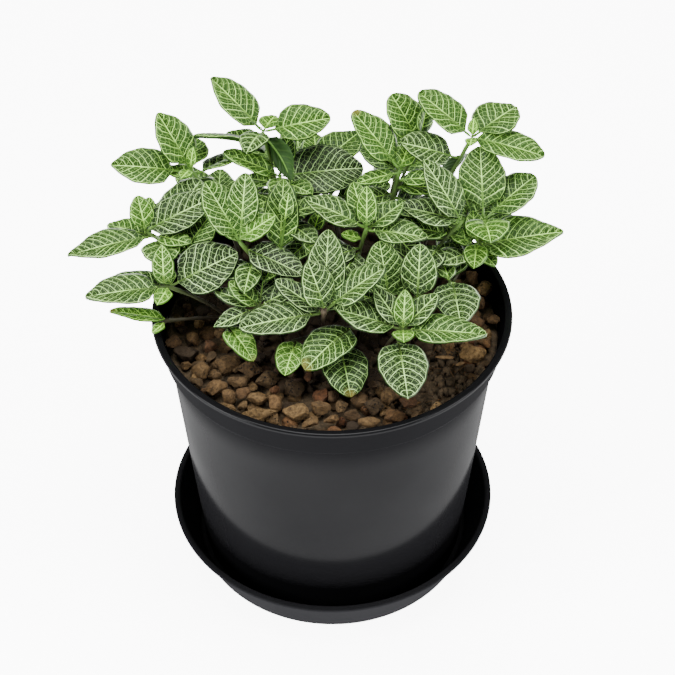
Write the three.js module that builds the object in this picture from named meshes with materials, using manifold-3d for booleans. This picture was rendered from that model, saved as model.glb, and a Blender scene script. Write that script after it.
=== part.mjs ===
// A potted nerve plant: a round black pot on its saucer, soil with a gravel top,
// and leafy stems with their leaves in opposite pairs.
// Millimetres, +Z up. The origin is the middle of the saucer's underside, and -Y faces the viewer.

import * as THREE from 'three';
import { mergeVertices } from 'three/addons/utils/BufferGeometryUtils.js';
import Module from 'manifold-3d';

const wasm = await Module();
wasm.setup();

// Driving dimensions: saucer
const SAUCER_RADIUS = 72.9;
const SAUCER_BASE_RADIUS = 62.3;
const SAUCER_HEIGHT = 23.6;
const SAUCER_WALL = 1.8;
const SAUCER_FLOOR = 2.5;
const SAUCER_LIP = 1;

// Pot
const RIM_RADIUS = 75;
const RIM_HEIGHT = 133.6;
const RIM_LIP = 1.9;
const LIP_WIDTH = 3.4;
const BAND_HEIGHT = 15.3;
const BAND_RADIUS = 71;
const BODY_RADIUS = 68.9;
const BASE_RADIUS = 59.5;
const POT_WALL = 1.8;
const POT_FLOOR = 2;
const DRAIN_HOLES = 6;
const DRAIN_RADIUS = 3.5;
const DRAIN_CIRCLE = 42;

// Soil and gravel
const SOIL_TOP = 122;
const GRAVEL_BED = 1.2;
const GRAVEL_TOP = 129;
const PEBBLE_COUNT = 54;
const PEBBLE_RADIUS = 7.6;
const PEBBLE_SIDES = 5;
const BARE_PATCH = { x: 40, y: -36, radius: 15 };

// Stems and leaves
const STEM_RADIUS = 1.3;
const STEM_SIDES = 5;
const STEM_TIP = 1.6;
const ROOT_DEPTH = 9;
const BRANCH_POINT = 0.3;
const STALK_WIDTH = 1.5;
const STALK_THICK = 1.2;
const ROW_SPACING = 8.8;
const LEAF_ROWS = 4;
const FILLER_ROWS = 2;
const BLADE_THICK = 0.65;
const FOLD = 0.12;
const EDGE_WAVE = 0.25;
const DROOP = 14;

// Clearances
const FIT_GAP = 0.3;
const LEAF_GAP = 1.3;
const STEM_GAP = 2.6;
const RIM_GAP = 1;

const ROUND = 36;
const POT_STAND = SAUCER_FLOOR;

// A leaf's row: which way it points from its crown (turn, anticlockwise from +X, in degrees),
// how steeply it rises, how far from the crown its tip is, its width and its stalk's length.
// below sets its joint under the crown, droop bends it over and roll tips it about its own length.
const leaf = (turn, rise, reach, width, stalk, shape = {}) => ({
  turn, rise, reach, width, stalk, below: 0, droop: DROOP, roll: 0, filler: false, ...shape,
});

// A leaf that fills in behind or under the others, placed after them
const filler = (turn, rise, reach, width, below = 0) => (
  leaf(turn, rise, reach, width, 2, { below, filler: true })
);

const STEMS = [
  {
    name: 'leafy_stem_left_upper',
    root: [-38, 28],
    shoots: [{
      crown: [-59, 40, 174],
      leaves: [
        leaf(140, 50, 27, 18, 3),
        leaf(184, 9, 34, 18, 8, { below: 1, roll: -20 }),
        leaf(90, 10, 18, 14, 2),
        leaf(35, 2, 25, 14, 4, { below: 2, droop: 15, roll: -18 }),
        leaf(245, 5, 8, 6, 1),
        leaf(60, 70, 10, 5.5, 1),
        filler(290, -15, 20, 10, 7),
        filler(100, -45, 26, 14, 4),
      ],
    }],
  },
  {
    name: 'leafy_stem_left_middle',
    root: [-46, 10],
    shoots: [{
      crown: [-75, 15, 160],
      leaves: [
        leaf(195, -5, 36, 17, 4, { below: 1 }),
        leaf(150, 0, 26, 14, 3, { below: 2 }),
        leaf(110, 50, 15, 10, 1, { below: -1 }),
        leaf(85, 30, 15, 8, 1, { below: -1 }),
        leaf(20, 18, 31, 17, 2, { below: -1, roll: 20 }),
        leaf(56, 42, 31, 20, 4, { below: 3 }),
        leaf(285, 0, 18, 13, 2, { below: 2 }),
      ],
    }],
  },
  {
    name: 'leafy_stem_left_lower',
    root: [-40, -6],
    shoots: [
      {
        crown: [-66, -7, 150],
        leaves: [
          leaf(192, 1, 34, 19, 5),
          leaf(92, 50, 17, 9, 1, { below: -1 }),
          leaf(20, 18, 31, 21.5, 4, { roll: 25 }),
          leaf(245, -10, 10, 8, 1),
          leaf(160, 4, 27, 12, 6, { below: 1 }),
          leaf(125, 15, 14, 9, 2, { below: 1 }),
        ],
      },
      {
        crown: [-67, -13, 137],
        leaves: [
          leaf(176, 8, 24, 10, 1, { roll: 10 }),
          filler(230, -5, 9, 5),
        ],
      },
    ],
  },
  {
    name: 'leafy_stem_left_inner',
    root: [-36, 12],
    shoots: [{
      crown: [-62, 7, 153],
      leaves: [
        leaf(62, 48, 26, 17, 1),
        leaf(355, -10, 28, 10, 12),
      ],
    }],
  },
  {
    name: 'leafy_stem_back_left',
    root: [-20, 38],
    shoots: [
      {
        crown: [-29, 53, 184],
        leaves: [
          leaf(155, 40, 31, 19, 4),
          leaf(8, 8, 29, 17.5, 5, { roll: 20 }),
          leaf(65, 5, 11, 9, 2),
          leaf(248, 0, 17, 12, 2, { droop: 50 }),
          leaf(300, -20, 26, 16, 2, { below: 1, droop: 40, roll: -110 }),
          leaf(187, 12, 31, 14, 6, { below: 5, droop: 20, roll: 30 }),
          leaf(155, -5, 19, 10, 4, { below: 4 }),
          filler(95, -45, 26, 15, 4),
        ],
      },
      {
        crown: [-22, 42, 169],
        leaves: [
          leaf(12, -2, 36, 21, 3, { roll: 22 }),
          filler(175, 20, 26, 13),
          filler(270, 10, 20, 10),
          filler(215, 5, 22, 12, 10),
          filler(85, 20, 20, 10),
        ],
      },
    ],
  },
  {
    name: 'leafy_stem_back_middle',
    root: [4, 34],
    shoots: [
      {
        crown: [-6, 52, 166],
        leaves: [
          leaf(48, 26, 26, 19, 1),
          filler(150, 10, 22, 12),
          filler(95, 5, 24, 12),
        ],
      },
      {
        crown: [0, 42, 157],
        leaves: [
          filler(15, 5, 26, 14),
          filler(185, 5, 26, 14),
          filler(285, 0, 20, 11),
        ],
      },
    ],
  },
  {
    name: 'leafy_stem_middle_left',
    root: [-24, 3],
    shoots: [
      {
        crown: [-37, 2, 166],
        leaves: [
          leaf(135, 45, 28, 17, 3),
          leaf(82, 47, 28, 13, 6),
          leaf(340, -15, 26, 17.5, 1, { below: 4 }),
          leaf(130, 25, 18, 9, 2, { below: 2 }),
          leaf(24, 24, 18, 11, 1, { below: -1, roll: 15 }),
          filler(262, -8, 20, 11, 9),
          filler(200, -10, 20, 12, 12),
        ],
      },
      {
        crown: [-21, 4, 160],
        leaves: [
          leaf(86, 48, 29, 14, 1),
          leaf(74, 58, 23, 7, 12, { below: -1 }),
          filler(250, 0, 14, 9, 5),
        ],
      },
    ],
  },
  {
    name: 'leafy_stem_middle_back',
    root: [-8, 20],
    shoots: [
      {
        crown: [-20, 16, 168],
        leaves: [
          leaf(80, 50, 14, 10, 1),
          filler(10, 15, 20, 11),
          filler(200, 5, 18, 10),
        ],
      },
      {
        crown: [-8, 14, 160],
        leaves: [
          leaf(70, 30, 11, 7, 1),
          leaf(190, 0, 11, 7, 1),
          filler(275, 5, 15, 9),
        ],
      },
    ],
  },
  {
    name: 'leafy_stem_middle',
    root: [8, 6],
    shoots: [{
      crown: [14, 6, 170],
      leaves: [
        leaf(90, 55, 17, 8.5, 1),
        leaf(165, 20, 28, 14, 4),
        leaf(355, -5, 25, 14, 3, { below: 1 }),
        leaf(105, 25, 22, 10, 5, { below: 1 }),
        leaf(35, 20, 20, 12, 3, { below: 2 }),
        leaf(170, 10, 9, 7, 1, { below: 6 }),
        filler(245, 0, 22, 12, 12),
      ],
    }],
  },
  {
    name: 'leafy_stem_right_inner',
    root: [34, 12],
    shoots: [{
      crown: [53, 15, 166],
      leaves: [
        leaf(138, 44, 30, 13, 2),
        leaf(170, 10, 26, 16, 2),
        leaf(172, 5, 23, 15, 1, { below: 6 }),
        filler(240, -10, 22, 12, 10),
      ],
    }],
  },
  {
    name: 'leafy_stem_back_right',
    root: [20, 24],
    shoots: [
      {
        crown: [28, 34, 178],
        leaves: [
          leaf(145, 40, 31, 18, 5),
          leaf(70, 25, 14, 10, 1),
          leaf(190, -10, 18, 10, 2, { below: 1 }),
          filler(215, 0, 22, 12, 14),
        ],
      },
      {
        crown: [36, 48, 182],
        leaves: [
          leaf(135, 45, 23, 19, 2),
          leaf(72, 50, 17, 10, 3, { roll: 60 }),
        ],
      },
    ],
  },
  {
    name: 'leafy_stem_right_upper',
    root: [38, 30],
    shoots: [{
      crown: [58, 46, 186],
      leaves: [
        leaf(153, 30, 29, 19.5, 4),
        leaf(40, 10, 25, 20, 4),
        leaf(346, -8, 31, 17, 2, { roll: 8 }),
        leaf(165, 12, 27, 16, 4, { below: 8, roll: -20 }),
        leaf(260, 10, 8, 5, 1),
        leaf(80, 60, 8, 4.5, 1),
        filler(120, -60, 20, 12, 6),
      ],
    }],
  },
  {
    name: 'leafy_stem_right_middle',
    root: [42, 20],
    shoots: [{
      crown: [62.5, 20, 163],
      leaves: [
        leaf(93, 49, 31, 19.5, 5),
        leaf(36, 22, 29, 19, 5),
        leaf(270, 5, 17, 18, 1, { droop: 50 }),
        filler(190, 5, 22, 12, 8),
      ],
    }],
  },
  {
    name: 'leafy_stem_right_lower',
    root: [46, 4],
    shoots: [{
      crown: [60, 16, 154],
      leaves: [
        leaf(0, 12, 37, 21, 3, { below: 1, roll: 12 }),
        leaf(98, 45, 14, 9, 1),
        leaf(262, -5, 15, 10, 1, { droop: 30 }),
        leaf(310, -8, 13, 9, 1, { below: 1 }),
        leaf(215, -40, 17, 9, 3),
      ],
    }],
  },
  {
    name: 'leafy_stem_front_right',
    root: [20, -26],
    shoots: [{
      crown: [28, -33, 150],
      leaves: [
        leaf(85, 50, 16, 8.5, 1),
        leaf(170, 14, 28, 18, 4),
        leaf(355, 0, 33, 17, 3),
        leaf(276, -6, 33, 18, 5, { below: 4, droop: 25 }),
        leaf(270, 15, 10, 9, 1),
        filler(130, 30, 20, 11),
        filler(40, 25, 20, 11),
      ],
    }],
  },
  {
    name: 'leafy_stem_right_front',
    root: [36, -6],
    shoots: [
      {
        crown: [48, -5, 150],
        leaves: [
          leaf(275, 0, 24, 18.5, 1, { below: -1 }),
          leaf(195, -20, 12, 9, 4, { below: 8 }),
          filler(100, 0, 16, 8),
        ],
      },
      {
        crown: [34, -19, 154],
        leaves: [
          leaf(85, 50, 22, 14.5, 1),
        ],
      },
    ],
  },
  {
    name: 'leafy_stem_front_inner',
    root: [12, -10],
    shoots: [{
      crown: [23, -15, 150],
      leaves: [
        leaf(105, 50, 24, 17, 1),
        leaf(45, 45, 18, 10, 2),
        filler(165, 12, 22, 12, 3),
        filler(330, 0, 20, 11, 3),
      ],
    }],
  },
  {
    name: 'leafy_stem_front_middle',
    root: [-4, -18],
    shoots: [
      {
        crown: [-3, -26, 154],
        leaves: [
          leaf(18, 20, 30, 16, 5),
          leaf(85, 50, 33, 15.5, 3, { below: 2 }),
          leaf(128, 60, 21, 15, 1, { below: -1 }),
          leaf(190, -5, 34, 16.5, 5, { below: 2, roll: -8 }),
          filler(150, 12, 24, 12, 4),
          filler(50, 20, 22, 12, 4),
        ],
      },
      {
        crown: [8, -23, 142],
        leaves: [
          leaf(230, -5, 29, 18, 1, { droop: 30 }),
          leaf(281, -16, 32, 16.5, 8, { below: 3, droop: 30 }),
        ],
      },
      {
        crown: [-14, -27, 139],
        leaves: [
          leaf(256, -8, 19, 12, 1, { droop: 40 }),
        ],
      },
    ],
  },
  {
    name: 'leafy_stem_front_left',
    root: [-20, -14],
    shoots: [
      {
        crown: [-29, -17, 148],
        leaves: [
          leaf(155, 30, 16, 11, 1),
          leaf(20, 20, 19, 11, 2),
          leaf(200, -15, 20, 10, 4),
          leaf(160, 10, 22, 10, 4, { below: 2 }),
          filler(85, 28, 20, 11),
        ],
      },
      {
        crown: [-42.5, -20, 140],
        leaves: [
          leaf(304, -10, 21, 11, 1, { droop: 50 }),
        ],
      },
    ],
  },
  {
    name: 'leafy_stem_rear_left',
    root: [-30, 46],
    shoots: [{
      crown: [-50, 50, 143],
      leaves: [
        filler(130, 20, 30, 16),
        filler(90, 5, 28, 15),
        filler(170, 0, 28, 14),
        filler(8, 15, 30, 15),
      ],
    }],
  },
  {
    name: 'leafy_stem_rear_middle',
    root: [-8, 54],
    shoots: [{
      crown: [-14, 66, 154],
      leaves: [
        filler(95, 15, 30, 16),
        filler(145, 5, 28, 15),
        filler(50, 0, 28, 15),
        filler(70, -15, 22, 13, 3),
      ],
    }],
  },
  {
    name: 'leafy_stem_rear_right',
    root: [22, 50],
    shoots: [{
      crown: [28, 62, 156],
      leaves: [
        filler(80, 20, 30, 17),
        filler(125, 0, 26, 14),
        filler(35, 5, 28, 15),
        filler(100, -15, 24, 13, 3),
      ],
    }],
  },
  {
    name: 'leafy_stem_right_rear',
    root: [48, 40],
    shoots: [{
      crown: [58, 44, 143],
      leaves: [
        filler(40, 15, 30, 16),
        filler(85, 5, 28, 15),
        filler(350, 0, 28, 15),
        filler(60, -15, 22, 13, 3),
      ],
    }],
  },
];

// Materials
const plain = (color, roughness) => new THREE.MeshStandardMaterial({ color, roughness, metalness: 0 });
const POT_PLASTIC = plain(0x2b2b2d, 0.42);
const SAUCER_PLASTIC = plain(0x1b1b1c, 0.4);
const SOIL = plain(0x2a1c13, 0.95);
const GRAVEL = plain(0x7d5f45, 0.9);
const LEAF = plain(0x4f7a3c, 0.5);

// Solids: joining and cutting
function toSolid(geometry) {
  geometry.deleteAttribute('normal');
  geometry.deleteAttribute('uv');
  const merged = mergeVertices(geometry, 1e-4);
  return new wasm.Manifold(new wasm.Mesh({
    numProp: 3,
    vertProperties: new Float32Array(merged.attributes.position.array),
    triVerts: new Uint32Array(merged.index.array),
  }));
}

function toMesh(name, solid, look) {
  const { vertProperties, triVerts } = solid.getMesh();
  const geometry = new THREE.BufferGeometry();
  geometry.setAttribute('position', new THREE.BufferAttribute(new Float32Array(vertProperties), 3));
  geometry.setIndex(Array.from(triVerts));
  geometry.computeVertexNormals();
  const mesh = new THREE.Mesh(geometry, look);
  mesh.name = name;
  return mesh;
}

const join = (solids) => solids.reduce((whole, piece) => whole.add(piece));

function largestBody(solid) {
  const bodies = solid.decompose();
  return bodies.reduce((best, body) => (body.volume() > best.volume() ? body : best));
}

// A closed outline of [radius, height] points, turned about the upright axis
function turned(outline) {
  const points = [...outline, outline[0]].map(([radius, height]) => new THREE.Vector2(radius, height));
  return toSolid(new THREE.LatheGeometry(points, ROUND).rotateX(Math.PI / 2));
}

function upright(radius, low, high, sides, x, y) {
  const prism = new THREE.CylinderGeometry(radius, radius, high - low, sides);
  return toSolid(prism.rotateX(Math.PI / 2).translate(x, y, (low + high) / 2));
}

function seededRandom(seed) {
  let state = seed;
  return () => {
    state = (state * 1664525 + 1013904223) % 4294967296;
    return state / 4294967296;
  };
}

// Saucer: a flat floor, a slanting wall and a narrow lip with a groove under it
function saucer() {
  const lipFoot = SAUCER_HEIGHT - 2;
  const wallTop = SAUCER_RADIUS - SAUCER_LIP;
  return turned([
    [0, 0],
    [SAUCER_BASE_RADIUS, 0],
    [wallTop - 0.3, lipFoot],
    [SAUCER_RADIUS, lipFoot + 0.5],
    [SAUCER_RADIUS, SAUCER_HEIGHT],
    [wallTop - SAUCER_WALL, SAUCER_HEIGHT],
    [SAUCER_BASE_RADIUS - 0.8, SAUCER_FLOOR],
    [0, SAUCER_FLOOR],
  ]);
}

// The pot's outer radius at a height on its straight body, and its inner radius anywhere
const bandFoot = RIM_HEIGHT - BAND_HEIGHT;

function bodyRadius(height) {
  const share = (height - POT_STAND) / (bandFoot - POT_STAND);
  return BASE_RADIUS + share * (BODY_RADIUS - BASE_RADIUS);
}

function bandRadius(height) {
  const share = (height - bandFoot) / (RIM_HEIGHT - RIM_LIP - bandFoot);
  return BAND_RADIUS + share * (RIM_RADIUS - 1.4 - BAND_RADIUS);
}

// Pot: a tapering body, a wider band round its top and a rolled lip, with drain holes in its floor
function pot() {
  const floor = POT_STAND + POT_FLOOR;
  const lipFoot = RIM_HEIGHT - RIM_LIP;
  const shell = turned([
    [0, POT_STAND],
    [BASE_RADIUS - 1, POT_STAND],
    [bodyRadius(POT_STAND + 1), POT_STAND + 1],
    [BODY_RADIUS, bandFoot],
    [BAND_RADIUS - 0.4, bandFoot + 0.3],
    [bandRadius(bandFoot + 1.2), bandFoot + 1.2],
    [bandRadius(lipFoot), lipFoot],
    [RIM_RADIUS, lipFoot + 0.3],
    [RIM_RADIUS - 0.3, RIM_HEIGHT],
    [RIM_RADIUS - LIP_WIDTH, RIM_HEIGHT],
    [bandRadius(lipFoot) - POT_WALL, lipFoot - 1],
    [BAND_RADIUS - POT_WALL, bandFoot + 1.2],
    [BODY_RADIUS - POT_WALL, bandFoot - 1],
    [bodyRadius(floor) - POT_WALL, floor],
    [0, floor],
  ]);
  const holes = [];
  for (let i = 0; i < DRAIN_HOLES; i += 1) {
    const angle = (i * 2 * Math.PI) / DRAIN_HOLES;
    const x = DRAIN_CIRCLE * Math.cos(angle);
    const y = DRAIN_CIRCLE * Math.sin(angle);
    holes.push(upright(DRAIN_RADIUS, 0, floor + 1, 8, x, y));
  }
  return shell.subtract(join(holes));
}

// Soil: fills the pot up to its flat top, with a hole for each stem's root
function soil(holes) {
  const floor = POT_STAND + POT_FLOOR;
  const inner = (radius) => radius - POT_WALL - FIT_GAP;
  const fill = turned([
    [0, floor],
    [inner(bodyRadius(floor)), floor],
    [inner(BODY_RADIUS), bandFoot - 1 + FIT_GAP],
    [inner(BAND_RADIUS), bandFoot + 1.2 + FIT_GAP],
    [inner(bandRadius(SOIL_TOP)), SOIL_TOP],
    [0, SOIL_TOP],
  ]);
  return fill.subtract(holes);
}

// Gravel: a thin bed under pebbles laid in rings, each turned, stretched and sunk by a seeded draw
function gravel(holes) {
  const random = seededRandom(11);
  const spread = (low, high) => low + (high - low) * random();
  const bedRadius = bandRadius(SOIL_TOP) - POT_WALL - FIT_GAP - 0.2;
  const bed = upright(bedRadius, SOIL_TOP, SOIL_TOP + GRAVEL_BED, ROUND, 0, 0);
  const pebbles = [];
  const golden = Math.PI * (3 - Math.sqrt(5));
  for (let i = 0; i < PEBBLE_COUNT; i += 1) {
    const radius = (bedRadius - PEBBLE_RADIUS * 0.85) * Math.sqrt((i + 0.5) / PEBBLE_COUNT);
    const x = radius * Math.cos(i * golden) + spread(-1, 1);
    const y = radius * Math.sin(i * golden) + spread(-1, 1);
    const size = PEBBLE_RADIUS * spread(0.75, 1);
    const height = size * spread(0.62, 0.85);
    const outline = [[0, 0], [size, 0], [size * 0.72, height * 0.75], [0, height]];
    const points = outline.map(([across, up]) => new THREE.Vector2(across, up));
    const pebble = new THREE.LatheGeometry(points, PEBBLE_SIDES).rotateX(Math.PI / 2);
    pebble.scale(1, spread(0.75, 1), 1).rotateZ(spread(0, Math.PI));
    pebble.translate(x, y, SOIL_TOP + GRAVEL_BED / 2);
    if (Math.hypot(x - BARE_PATCH.x, y - BARE_PATCH.y) > BARE_PATCH.radius) {
      pebbles.push(toSolid(pebble));
    }
  }
  const patch = upright(BARE_PATCH.radius - PEBBLE_RADIUS, 0, RIM_HEIGHT, 9, BARE_PATCH.x, BARE_PATCH.y);
  return largestBody(join([bed, ...pebbles]).subtract(patch).subtract(holes));
}

// A shoot's stem: it stands straight up in the soil, and above it leans out towards its crown
// as the square of its height. A side shoot starts inside the first shoot's stem.
class StemCurve extends THREE.Curve {
  constructor(start, crown, rootDepth) {
    super();
    this.start = start;
    this.climb = crown.clone().sub(start);
    this.low = -rootDepth / this.climb.z;
    this.high = 1 + STEM_TIP / this.climb.length();
  }

  at(share) {
    const lean = Math.max(0, share) ** 2;
    const { x, y, z } = this.climb;
    return new THREE.Vector3(lean * x, lean * y, share * z).add(this.start);
  }

  getPoint(t, target = new THREE.Vector3()) {
    return target.copy(this.at(this.low + t * (this.high - this.low)));
  }
}

function stemCurve(stem, shoot) {
  const crown = new THREE.Vector3(...shoot.crown);
  if (shoot === stem.shoots[0]) {
    const [x, y] = stem.root;
    const start = new THREE.Vector3(x, y, SOIL_TOP + GRAVEL_BED);
    return new StemCurve(start, crown, ROOT_DEPTH + GRAVEL_BED);
  }
  return new StemCurve(stemCurve(stem, stem.shoots[0]).at(BRANCH_POINT), crown, 0);
}

function ngon(radius, sides) {
  const corners = [];
  for (let i = 0; i < sides; i += 1) {
    const angle = (i * 2 * Math.PI) / sides;
    corners.push(new THREE.Vector2(radius * Math.cos(angle), radius * Math.sin(angle)));
  }
  return new THREE.Shape(corners);
}

function rod(path, radius, sides, steps) {
  return toSolid(new THREE.ExtrudeGeometry(ngon(radius, sides), { steps, extrudePath: path }));
}

// A leaf's place: where its blade starts and the three directions of the blade
function placeLeaf(row, curve, turnBy = 0, riseBy = 0) {
  const turn = THREE.MathUtils.degToRad(row.turn + turnBy);
  const rise = THREE.MathUtils.degToRad(row.rise + riseBy);
  const roll = THREE.MathUtils.degToRad(row.roll);
  const along = new THREE.Vector3(
    Math.cos(rise) * Math.cos(turn),
    Math.cos(rise) * Math.sin(turn),
    Math.sin(rise),
  );
  const across = new THREE.Vector3(Math.sin(turn), -Math.cos(turn), 0).applyAxisAngle(along, roll);
  const joint = curve.at(1 - row.below / curve.climb.z);
  return {
    joint,
    base: joint.clone().addScaledVector(along, row.stalk),
    along,
    across,
    up: across.clone().cross(along),
    length: row.reach - row.stalk,
    half: row.width / 2,
    bend: THREE.MathUtils.degToRad(row.droop),
    rowLimit: row.filler ? FILLER_ROWS : LEAF_ROWS,
  };
}

// Half the blade's width at a share of its length: a rounded base, widest before the middle
function halfWidth(place, share) {
  return place.half * Math.sin(Math.PI * share ** 0.85) ** 0.52;
}

// A point of the blade: share of the length, share of the half width, and height above it.
// The midrib is an arc of a circle, and each half of the blade rises from it to the edge.
function bladePoint(place, share, side, lift = 0) {
  const arc = place.length / place.bend;
  const lean = place.bend * (0.5 - share);
  const half = halfWidth(place, share);
  const height = arc + lift + FOLD * half * Math.abs(side);
  const forward = arc * Math.sin(place.bend / 2) - height * Math.sin(lean);
  const upward = height * Math.cos(lean) - arc * Math.cos(place.bend / 2);
  return place.base.clone()
    .addScaledVector(place.along, forward)
    .addScaledVector(place.up, upward)
    .addScaledVector(place.across, half * side);
}

// The same three numbers for a point in space, or null where it isn't over the blade
function overBlade(place, point) {
  const from = point.clone().sub(place.base);
  const arc = place.length / place.bend;
  const forward = from.dot(place.along) - arc * Math.sin(place.bend / 2);
  const upward = from.dot(place.up) + arc * Math.cos(place.bend / 2);
  const share = 0.5 + Math.atan2(forward, upward) / place.bend;
  if (share <= 0 || share >= 1) return null;
  const half = halfWidth(place, share);
  const aside = Math.abs(from.dot(place.across));
  if (aside > half + FIT_GAP) return null;
  return Math.hypot(forward, upward) - arc - FOLD * aside;
}

const SHARES = [0, 0.15, 0.3, 0.45, 0.6, 0.75, 0.9, 1];
const SIDES = [-1, -0.5, 0, 0.5, 1];

function leafPoints(place) {
  const points = [place.joint.clone().lerp(place.base, 0.6)];
  for (const share of SHARES) {
    for (const side of SIDES) {
      points.push(bladePoint(place, share, side));
    }
  }
  return points;
}

// How much of one leaf's points touch or pass through another's blade
function crossing(points, place, gap) {
  let above = 0;
  let under = 0;
  let close = 0;
  for (const point of points) {
    const height = overBlade(place, point);
    if (height !== null) {
      if (Math.abs(height) < gap) close += 1;
      else if (height > 0) above += 1;
      else under += 1;
    }
  }
  return close + Math.min(above, under);
}

// Points below the gravel's top, or in the ring that the pot's rim takes up
function grounded(points) {
  const low = points.filter((point) => {
    const radius = Math.hypot(point.x, point.y);
    if (radius > RIM_RADIUS + RIM_GAP) return false;
    const inside = radius < RIM_RADIUS - LIP_WIDTH - RIM_GAP - 1;
    return point.z < (inside ? GRAVEL_TOP : RIM_HEIGHT) + RIM_GAP;
  });
  return low.length;
}

const near = (a, b) => a.base.distanceTo(b.base) < a.length + b.length + 2;

function trouble(place, points, owner, placed, stems) {
  let sum = 10 * grounded(points);
  for (const other of placed) {
    if (near(place, other.place)) {
      const own = other.owner === owner;
      const part = own ? points.slice(12) : points;
      const hits = crossing(part, other.place, LEAF_GAP) + crossing(other.points, place, LEAF_GAP);
      sum += own ? crossing(part, other.place, LEAF_GAP) : 10 * hits;
    }
  }
  for (const stem of stems) {
    if (stem.owner !== owner) {
      sum += 10 * crossing(stem.points, place, STEM_GAP);
    }
  }
  return sum;
}

// Each leaf takes the first heading near its own that is clear of what is already there
const TURNS = [0, -6, 6, -12, 12, -18, 18];
const RISES = [0, -4, 4, -8, 8, -12, 12, -16, 16];

function settle(row, curve, owner, placed, stems) {
  let best = null;
  for (const turnBy of TURNS) {
    for (const riseBy of RISES) {
      const place = placeLeaf(row, curve, turnBy, riseBy);
      const points = leafPoints(place);
      const effort = Math.abs(turnBy) / 6 + Math.abs(riseBy) / 4;
      const cost = trouble(place, points, owner, placed, stems) + effort;
      if (!best || cost < best.cost) {
        best = { place, points, owner, cost };
      }
    }
  }
  return best;
}

function settledLeaves(stems) {
  const placed = [];
  for (const late of [false, true]) {
    for (const stem of STEMS) {
      for (const shoot of stem.shoots) {
        const curve = stemCurve(stem, shoot);
        for (const row of shoot.leaves.filter((one) => one.filler === late)) {
          placed.push(settle(row, curve, stem.name, placed, stems));
        }
      }
    }
  }
  return placed;
}

// Triangles between two rows of points that both run from the left edge to the right
function stitch(low, high, face) {
  let a = 0;
  let b = 0;
  while (a < low.length - 1 || b < high.length - 1) {
    const nextLow = (a + 1) / (low.length - 1);
    const nextHigh = (b + 1) / (high.length - 1);
    if (nextLow <= nextHigh) {
      face(low[a], low[a + 1], high[b]);
      a += 1;
    } else {
      face(low[a], high[b + 1], high[b]);
      b += 1;
    }
  }
}

// A leaf is a stalk and a blade in one skin. Its rows of points run from inside the stem to the
// tip, each point once on top and once underneath, and both faces are split alike.
function leafSolid(place, grow = 0) {
  const points = [];
  const pair = (middle, thick) => {
    points.push(middle.clone().addScaledVector(place.up, thick / 2 + grow));
    points.push(middle.clone().addScaledVector(place.up, -thick / 2 - grow));
    return points.length - 2;
  };
  const stalkRow = (middle) => [-1, 1].map((side) => {
    const reach = side * (STALK_WIDTH / 2 + grow);
    return pair(middle.clone().addScaledVector(place.across, reach), STALK_THICK);
  });
  const start = place.joint.clone().addScaledVector(place.along, STEM_RADIUS / 3);
  const rows = [stalkRow(start), stalkRow(place.base)];
  const count = Math.min(place.rowLimit, Math.max(2, Math.round(place.length / ROW_SPACING)));
  const grown = { ...place, half: place.half + grow };
  for (let i = 1; i <= count; i += 1) {
    const share = (1 - Math.cos((Math.PI * i) / (count + 1))) / 2;
    const wave = i % 2 === 0 ? EDGE_WAVE : -EDGE_WAVE;
    rows.push([-1, 0, 1].map((side) => {
      const middle = bladePoint(grown, share, side, wave * Math.abs(side));
      return pair(middle, BLADE_THICK);
    }));
  }
  rows.push([pair(bladePoint(grown, 1, 0), BLADE_THICK)]);

  const index = [];
  const face = (a, b, c) => index.push(a, b, c, c + 1, b + 1, a + 1);
  const wall = (a, b) => index.push(a + 1, b + 1, b, a + 1, b, a);
  wall(rows[0][0], rows[0][1]);
  for (let i = 1; i < rows.length; i += 1) {
    stitch(rows[i - 1], rows[i], face);
    wall(rows[i - 1].at(-1), rows[i].at(-1));
    wall(rows[i][0], rows[i - 1][0]);
  }
  const geometry = new THREE.BufferGeometry().setFromPoints(points);
  geometry.setIndex(index);
  return toSolid(geometry);
}

function stemSolid(stem, grow = 0) {
  const rods = stem.shoots.map((shoot, i) => rod(
    stemCurve(stem, shoot),
    STEM_RADIUS + grow,
    STEM_SIDES,
    i === 0 ? 5 : 3,
  ));
  return join(rods);
}

function leafyStem(stem, leaves, grow = 0) {
  const own = leaves.filter((one) => one.owner === stem.name);
  return join([stemSolid(stem, grow), ...own.map((one) => leafSolid(one.place, grow))]);
}

// What still crosses an earlier stem's leaves is trimmed clear of them
function trimmedStems(leaves) {
  const solids = STEMS.map((stem) => leafyStem(stem, leaves));
  const margin = STEMS.map((stem) => leafyStem(stem, leaves, FIT_GAP));
  const trimmed = [];
  for (let i = 0; i < solids.length; i += 1) {
    let solid = solids[i];
    for (let j = 0; j < i; j += 1) {
      if (solid.intersect(margin[j]).volume() > 0) {
        solid = largestBody(solid.subtract(margin[j]));
      }
    }
    trimmed.push(solid);
  }
  return trimmed;
}

function stemPoints(stem) {
  const points = stem.shoots.map((shoot) => stemCurve(stem, shoot).getPoints(16));
  return { owner: stem.name, points: points.flat() };
}

const leaves = settledLeaves(STEMS.map(stemPoints));
const holes = join(STEMS.map((stem) => stemSolid(stem, FIT_GAP)));

const group = new THREE.Group();
group.add(toMesh('saucer', saucer(), SAUCER_PLASTIC));
group.add(toMesh('pot', pot(), POT_PLASTIC));
group.add(toMesh('soil', soil(holes), SOIL));
group.add(toMesh('gravel', gravel(holes), GRAVEL));
trimmedStems(leaves).forEach((solid, i) => group.add(toMesh(STEMS[i].name, solid, LEAF)));

export default group;
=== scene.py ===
"""A potted nerve plant: a black pot on its saucer, gravel over soil, and leafy stems.

Lengths are in millimetres while a piece is made, and its mesh is scaled to metres at the end.
"""

import random
from dataclasses import dataclass
from math import cos, hypot, pi, radians, sin, sqrt

import bmesh
import bpy
import numpy as np
from mathutils import Matrix, Vector, noise


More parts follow.
